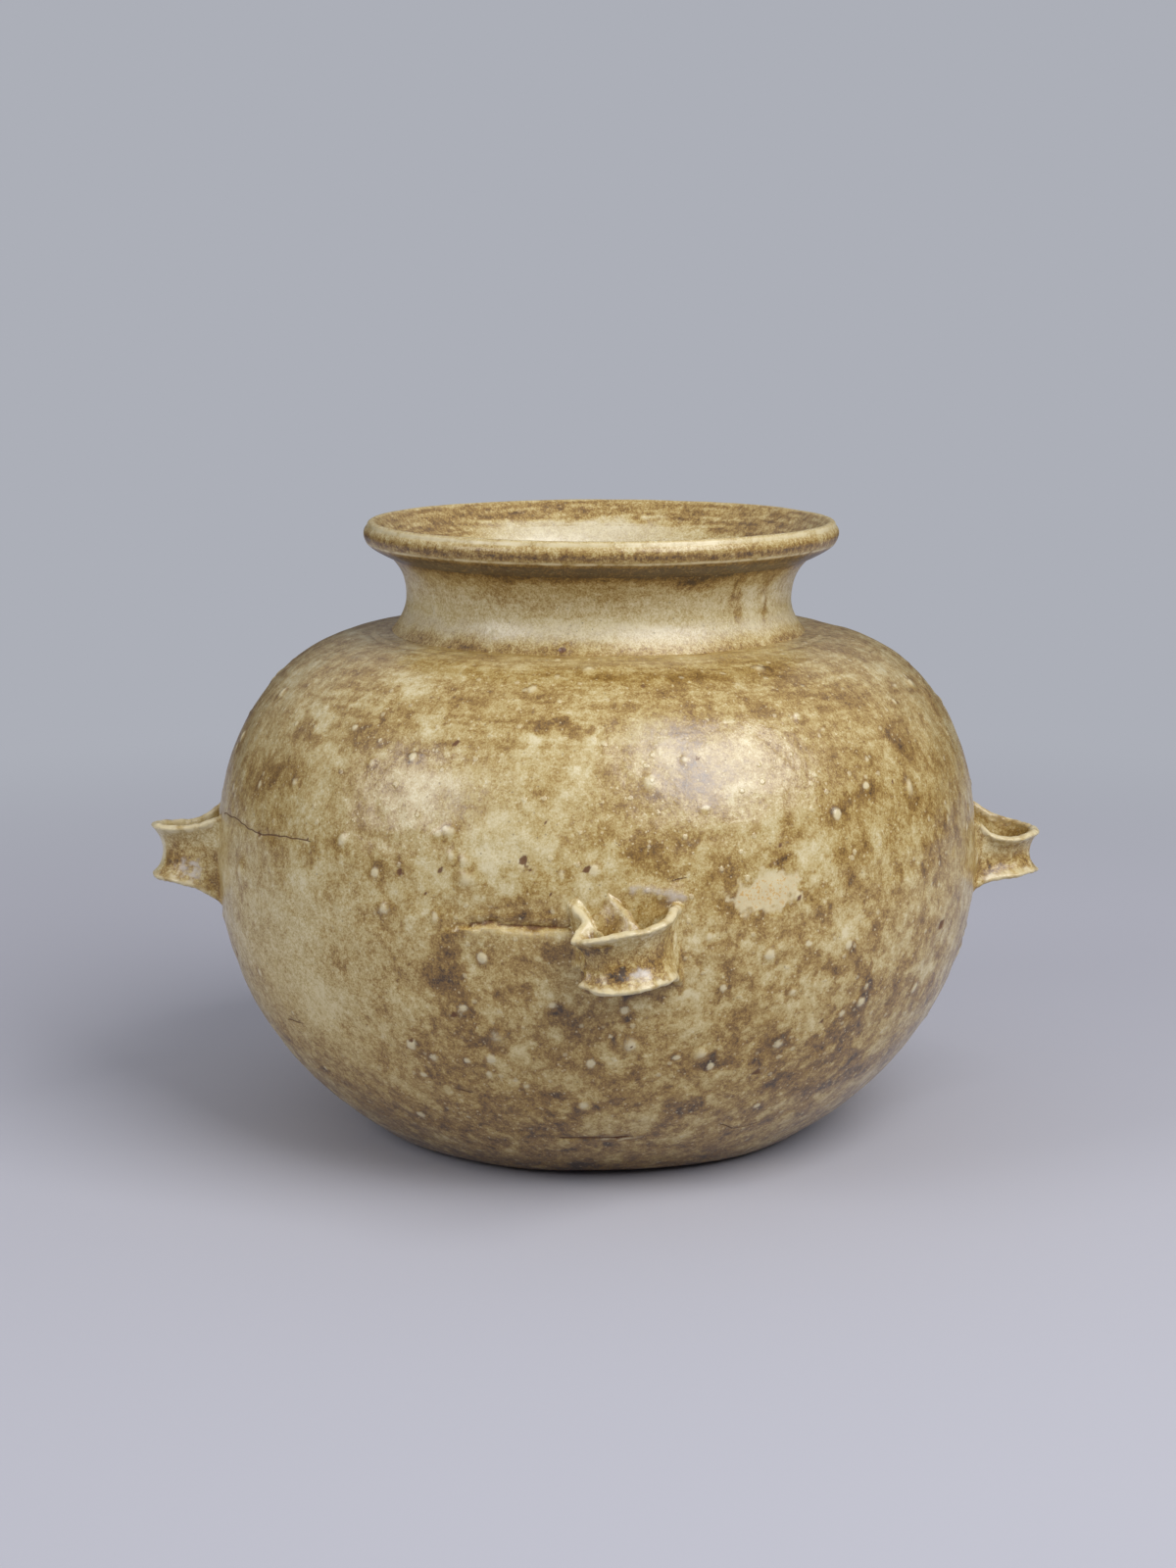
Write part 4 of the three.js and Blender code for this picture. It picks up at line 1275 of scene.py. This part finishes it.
def lug(side):
    """One strap with its roots, as clay that has run together with the wall."""
    turn, middle, tilt, tuck, corners = LUGS[side]
    line = threaded([np.array(corner, float) for corner in corners], 170)
    low = np.array([BOX_NEAR, -BOX_SIDE, middle - BOX_UNDER])
    high = np.array([BOX_FAR, BOX_SIDE, middle + BOX_OVER])
    shape = tuple(((high - low) / GRID_STEP).astype(int))
    outs, asides, heights = (start + np.arange(n) * GRID_STEP for start, n in zip(low, shape))
    plan = np.stack(np.meshgrid(outs, asides, indexing="ij"), -1).reshape(-1, 2)
    inward, there = beside_strap(plan, line)
    close = (inward > -KEPT_OUTWARDS) & (inward < KEPT_INWARDS)
    plan, inward, there = plan[close], inward[close], there[close]
    gap, across = strap_gap(heights[None], inward[:, None], there[:, None], middle, tilt, tuck)[:2]
    points = np.concatenate([np.repeat(plan, len(heights), 0), np.tile(heights, len(plan))[:, None]], 1)
    body = body_gap(points, turn)
    share = np.minimum(np.abs(across), 1).ravel()
    strap = gap.ravel() - STRAP_HALF - EDGE_SWELL * share**4 - ROOT_SWELL * np.exp(-np.maximum(body, 0) / 2.5)
    strap += 0.10 * lumps(points, 7, 41) + (0.04 + 0.05 * share**6) * lumps(points, 2.4, 42)
    if side == "front":
        for crest, sides in zip(FOLDS, FOLD_SIDES):
            folded = fold_gap(points, crest, sides) + 0.18 * lumps(points, 6, 43)
            inside = np.repeat(inward, len(heights))
            strap = melted(strap, np.maximum(folded, -inside - 0.3), 1.6)
    joined = melted(strap, body + BELOW_WALL, ROOT_BLEND)
    joined = np.maximum(joined, np.maximum(strap - SKIRT, -body - SKIRT_DEPTH))
    field = np.full((shape[0] * shape[1], shape[2]), CLEAR)
    field[close] = joined.reshape(len(plan), -1)
    field = field.reshape(shape)
    for edge in (0, -1):
        field[edge], field[:, edge], field[:, :, edge] = CLEAR, CLEAR, CLEAR
    points, faces = clay_skin(field, low, GRID_STEP)
    layers = strap_layers(side, points, line)
    placed = turned(points, turn)
    layers["tone"] += browned(placed)
    made = bpy.data.meshes.new(f"lug_{side}_glazed")
    made.from_pydata((placed * MM).tolist(), [], faces.tolist())
    piece = dressed(finished(f"lug_{side}_glazed", made, layers), f"lug_{side}")


def strap_layers(side, points, line):
    """Where the glaze on a lug is pale along its edges, brown in its hollow and at its roots, partly painted
    shade, pooled or spotted.
    """
    turn, middle, tilt, tuck = LUGS[side][:4]
    inward, there = beside_strap(points[:, :2], line)
    gap, across, half = strap_gap(points[:, 2], inward, there, middle, tilt, tuck)
    body = np.maximum(body_gap(points, turn), 0)
    layers = {layer: np.zeros(len(points)) for layer in LAYERS}
    ragged = 0.45 * lumps(points, 3.4, 44) + 0.3 * lumps(points, 1.5, 45)
    on_strap = np.clip(2.6 - gap, 0, 1)
    to_edge = (1 - np.abs(across)) * half + ragged
    free = np.clip(body / 2 - 0.3 - 0.9 * (across < 0), 0, 1)
    rubbed = np.clip(0.72 + 0.25 * lumps(points, 6, 47) - 0.2 * (inward > 0), 0.3, 1)
    layers["pale"] = np.clip(1.1 - to_edge / 2.0, 0, 1) * on_strap * free * rubbed
    face = np.clip(to_edge / 2.5, 0, 1) * on_strap * (inward < 0.5)
    streaks = lumps(points * (1, 1, 0.2), 2.2, 46)
    layers["tone"] = face * (-0.08 + 0.04 * streaks) + 0.05 * hump(to_edge - 2.2, 1.2) * on_strap
    layers["calm"] = 0.65 * on_strap
    # Browner at the roots, most at the low ones, and low behind the strap: pooled glaze and painted shade
    low_root = np.clip((middle + 6 - points[:, 2]) / 8, 0.3, 1)
    layers["tone"] += 0.22 * hump(body, 1.2) * on_strap * low_root * (0.8 + 0.5 * ragged)
    layers["tone"] += 0.10 * (inward > 1.5) * np.clip(middle + 4 - points[:, 2], 0, 6) / 6
    for layer, spots in STRAP_SPOTS_AND_PAINTED_LIGHT[side].items():
        for *place, size, amount in spots:
            reach = np.linalg.norm(points - place, axis=1) / size
            layers[layer] += amount * hump(reach + 0.6 * ragged, 1)
    if side == "front":
        for crest in FOLDS:
            beside = near_line(points, crest) + 0.5 * ragged
            layers["pale"] += 0.5 * hump(beside, 1.3) * (points[:, 2] > FOLD_FLOOR + 12)
    return layers


for side in LUGS:
    lug(side)


# Studio: a pale sweep of paper, a large soft lamp on the right, a smaller one on the left, and
# the camera where the photograph was taken from.

# The camera's place in metres, how far it looks down in degrees, its lens and the width of its
# film in millimetres, and how far the picture is shifted, as a share of its longer side
CAMERA_PLACE = (0.0, -0.9187, 0.28265)
CAMERA_DROP = 10.57
LENS = 64.75
SENSOR = 36
FRAMING = -9.5 / 1600
LOW_AIR = (0.04, 0.04, 0.055, 1)
HIGH_AIR = (0.39, 0.40, 0.44, 1)
PAPER = (0.475, 0.475, 0.52, 1)
FAR_PAPER = paint(172, 175, 184)
PAPER_SIDES = 160
# In metres: where the paper begins to fade and has faded, where it turns up, the radius of that
# turn, how far out and how high it ends, and the height that the lamps are aimed at
FADE_FROM, FADE_TO = 0.3, 0.8
SWEEP_START = 1.6
SWEEP_RADIUS = 0.9
SWEEP_END, SWEEP_TOP = 2.5, 2.6
AIM_HEIGHT = 0.12
LAMP_COLOUR = (1.0, 1.0, 1.02)

camera = linked("camera", bpy.data.cameras.new("camera"))
camera.location = CAMERA_PLACE
camera.rotation_euler = (math.radians(90 - CAMERA_DROP), 0, 0)
camera.data.lens = LENS
camera.data.sensor_width = SENSOR
camera.data.shift_x = FRAMING
bpy.context.scene.camera = camera


def lamp(name, towards, distance, wide, tall, brightness):
    """A soft box of that brightness, square on to the jar from a direction."""
    made = bpy.data.lights.new(name, "AREA")
    made.shape = "RECTANGLE"
    made.size, made.size_y = wide, tall
    made.energy = brightness * math.pi * wide * tall
    made.color = LAMP_COLOUR
    held = linked(name, made)
    way = np.array(towards) / np.linalg.norm(towards)
    held.location = way * distance + np.array([0, 0, AIM_HEIGHT])
    flat = math.hypot(way[0], way[1])
    held.rotation_euler = (math.atan2(flat, way[2]), 0, math.atan2(way[1], way[0]) + math.pi / 2)


lamp("key_box", (0.51, -0.51, 0.69), 1.5, 1.1, 1.1, 5.37)
lamp("fill_box", (-0.76, -0.45, 0.47), 1.5, 0.6, 0.75, 4.3)

world = bpy.data.worlds.new("studio_air")
bpy.context.scene.world = world
air = Finish(world)
rise = air.node("SeparateXYZ", {}, {0: air.node("TexCoord", {}, {}, out="Generated")}, out="Z")
sky = air.mix(air.ease(rise, 0.0, 0.6), LOW_AIR, HIGH_AIR)
air.node("OutputWorld", {}, {"Surface": air.node("Background", {}, {"Color": sky})})


def studio_paper(name):
    """Grey paper that fades, in the camera's eye alone, into an even tone further away."""
    material = bpy.data.materials.new(name)
    p = Finish(material)
    place = p.node("TexCoord", {}, {}, out="Object")
    distance = p.node("VectorMath", {"operation": "LENGTH"}, {0: place}, out="Value")
    seen = p.node("LightPath", {}, {}, out="Is Camera Ray")
    lit = p.node("BsdfDiffuse", {}, {"Color": PAPER})
    even = p.node("Emission", {}, {"Color": FAR_PAPER, "Strength": 1.0})
    faded = p.ease(distance, FADE_FROM, FADE_TO) * seen
    p.node("OutputMaterial", {}, {"Surface": p.node("MixShader", {}, {0: faded, 1: lit, 2: even})})
    return material


def ring_sheet(name, radii, heights):
    """A turned sheet of studio paper, open at its edges, from the middle outwards."""
    turns = np.linspace(0, 2 * math.pi, PAPER_SIDES, endpoint=False)
    points = [(r * math.cos(a), r * math.sin(a), h) for r, h in zip(radii, heights) for a in turns]
    faces = []
    for start in range(0, len(points) - PAPER_SIDES, PAPER_SIDES):
        for j in range(PAPER_SIDES):
            near, after = start + j, start + (j + 1) % PAPER_SIDES
            faces.append((near, after, after + PAPER_SIDES, near + PAPER_SIDES))
    made = bpy.data.meshes.new(name)
    made.from_pydata(points, [], faces)
    made.flip_normals()
    made.materials.append(studio_paper(name))
    sheet = linked(name, made)
    return sheet


ring_sheet("floor_paper", [0.0005, FADE_FROM, FADE_TO, SWEEP_START], [0, 0, 0, 0])
curve = np.linspace(0, math.pi / 2, 16)
swept = ring_sheet(
    "sweep_paper",
    [*(SWEEP_START + SWEEP_RADIUS * np.sin(curve)), SWEEP_END],
    [*(SWEEP_RADIUS - SWEEP_RADIUS * np.cos(curve)), SWEEP_TOP],
)
swept.visible_diffuse = swept.visible_shadow = swept.visible_glossy = False

bpy.context.scene.view_settings.view_transform = "Standard"
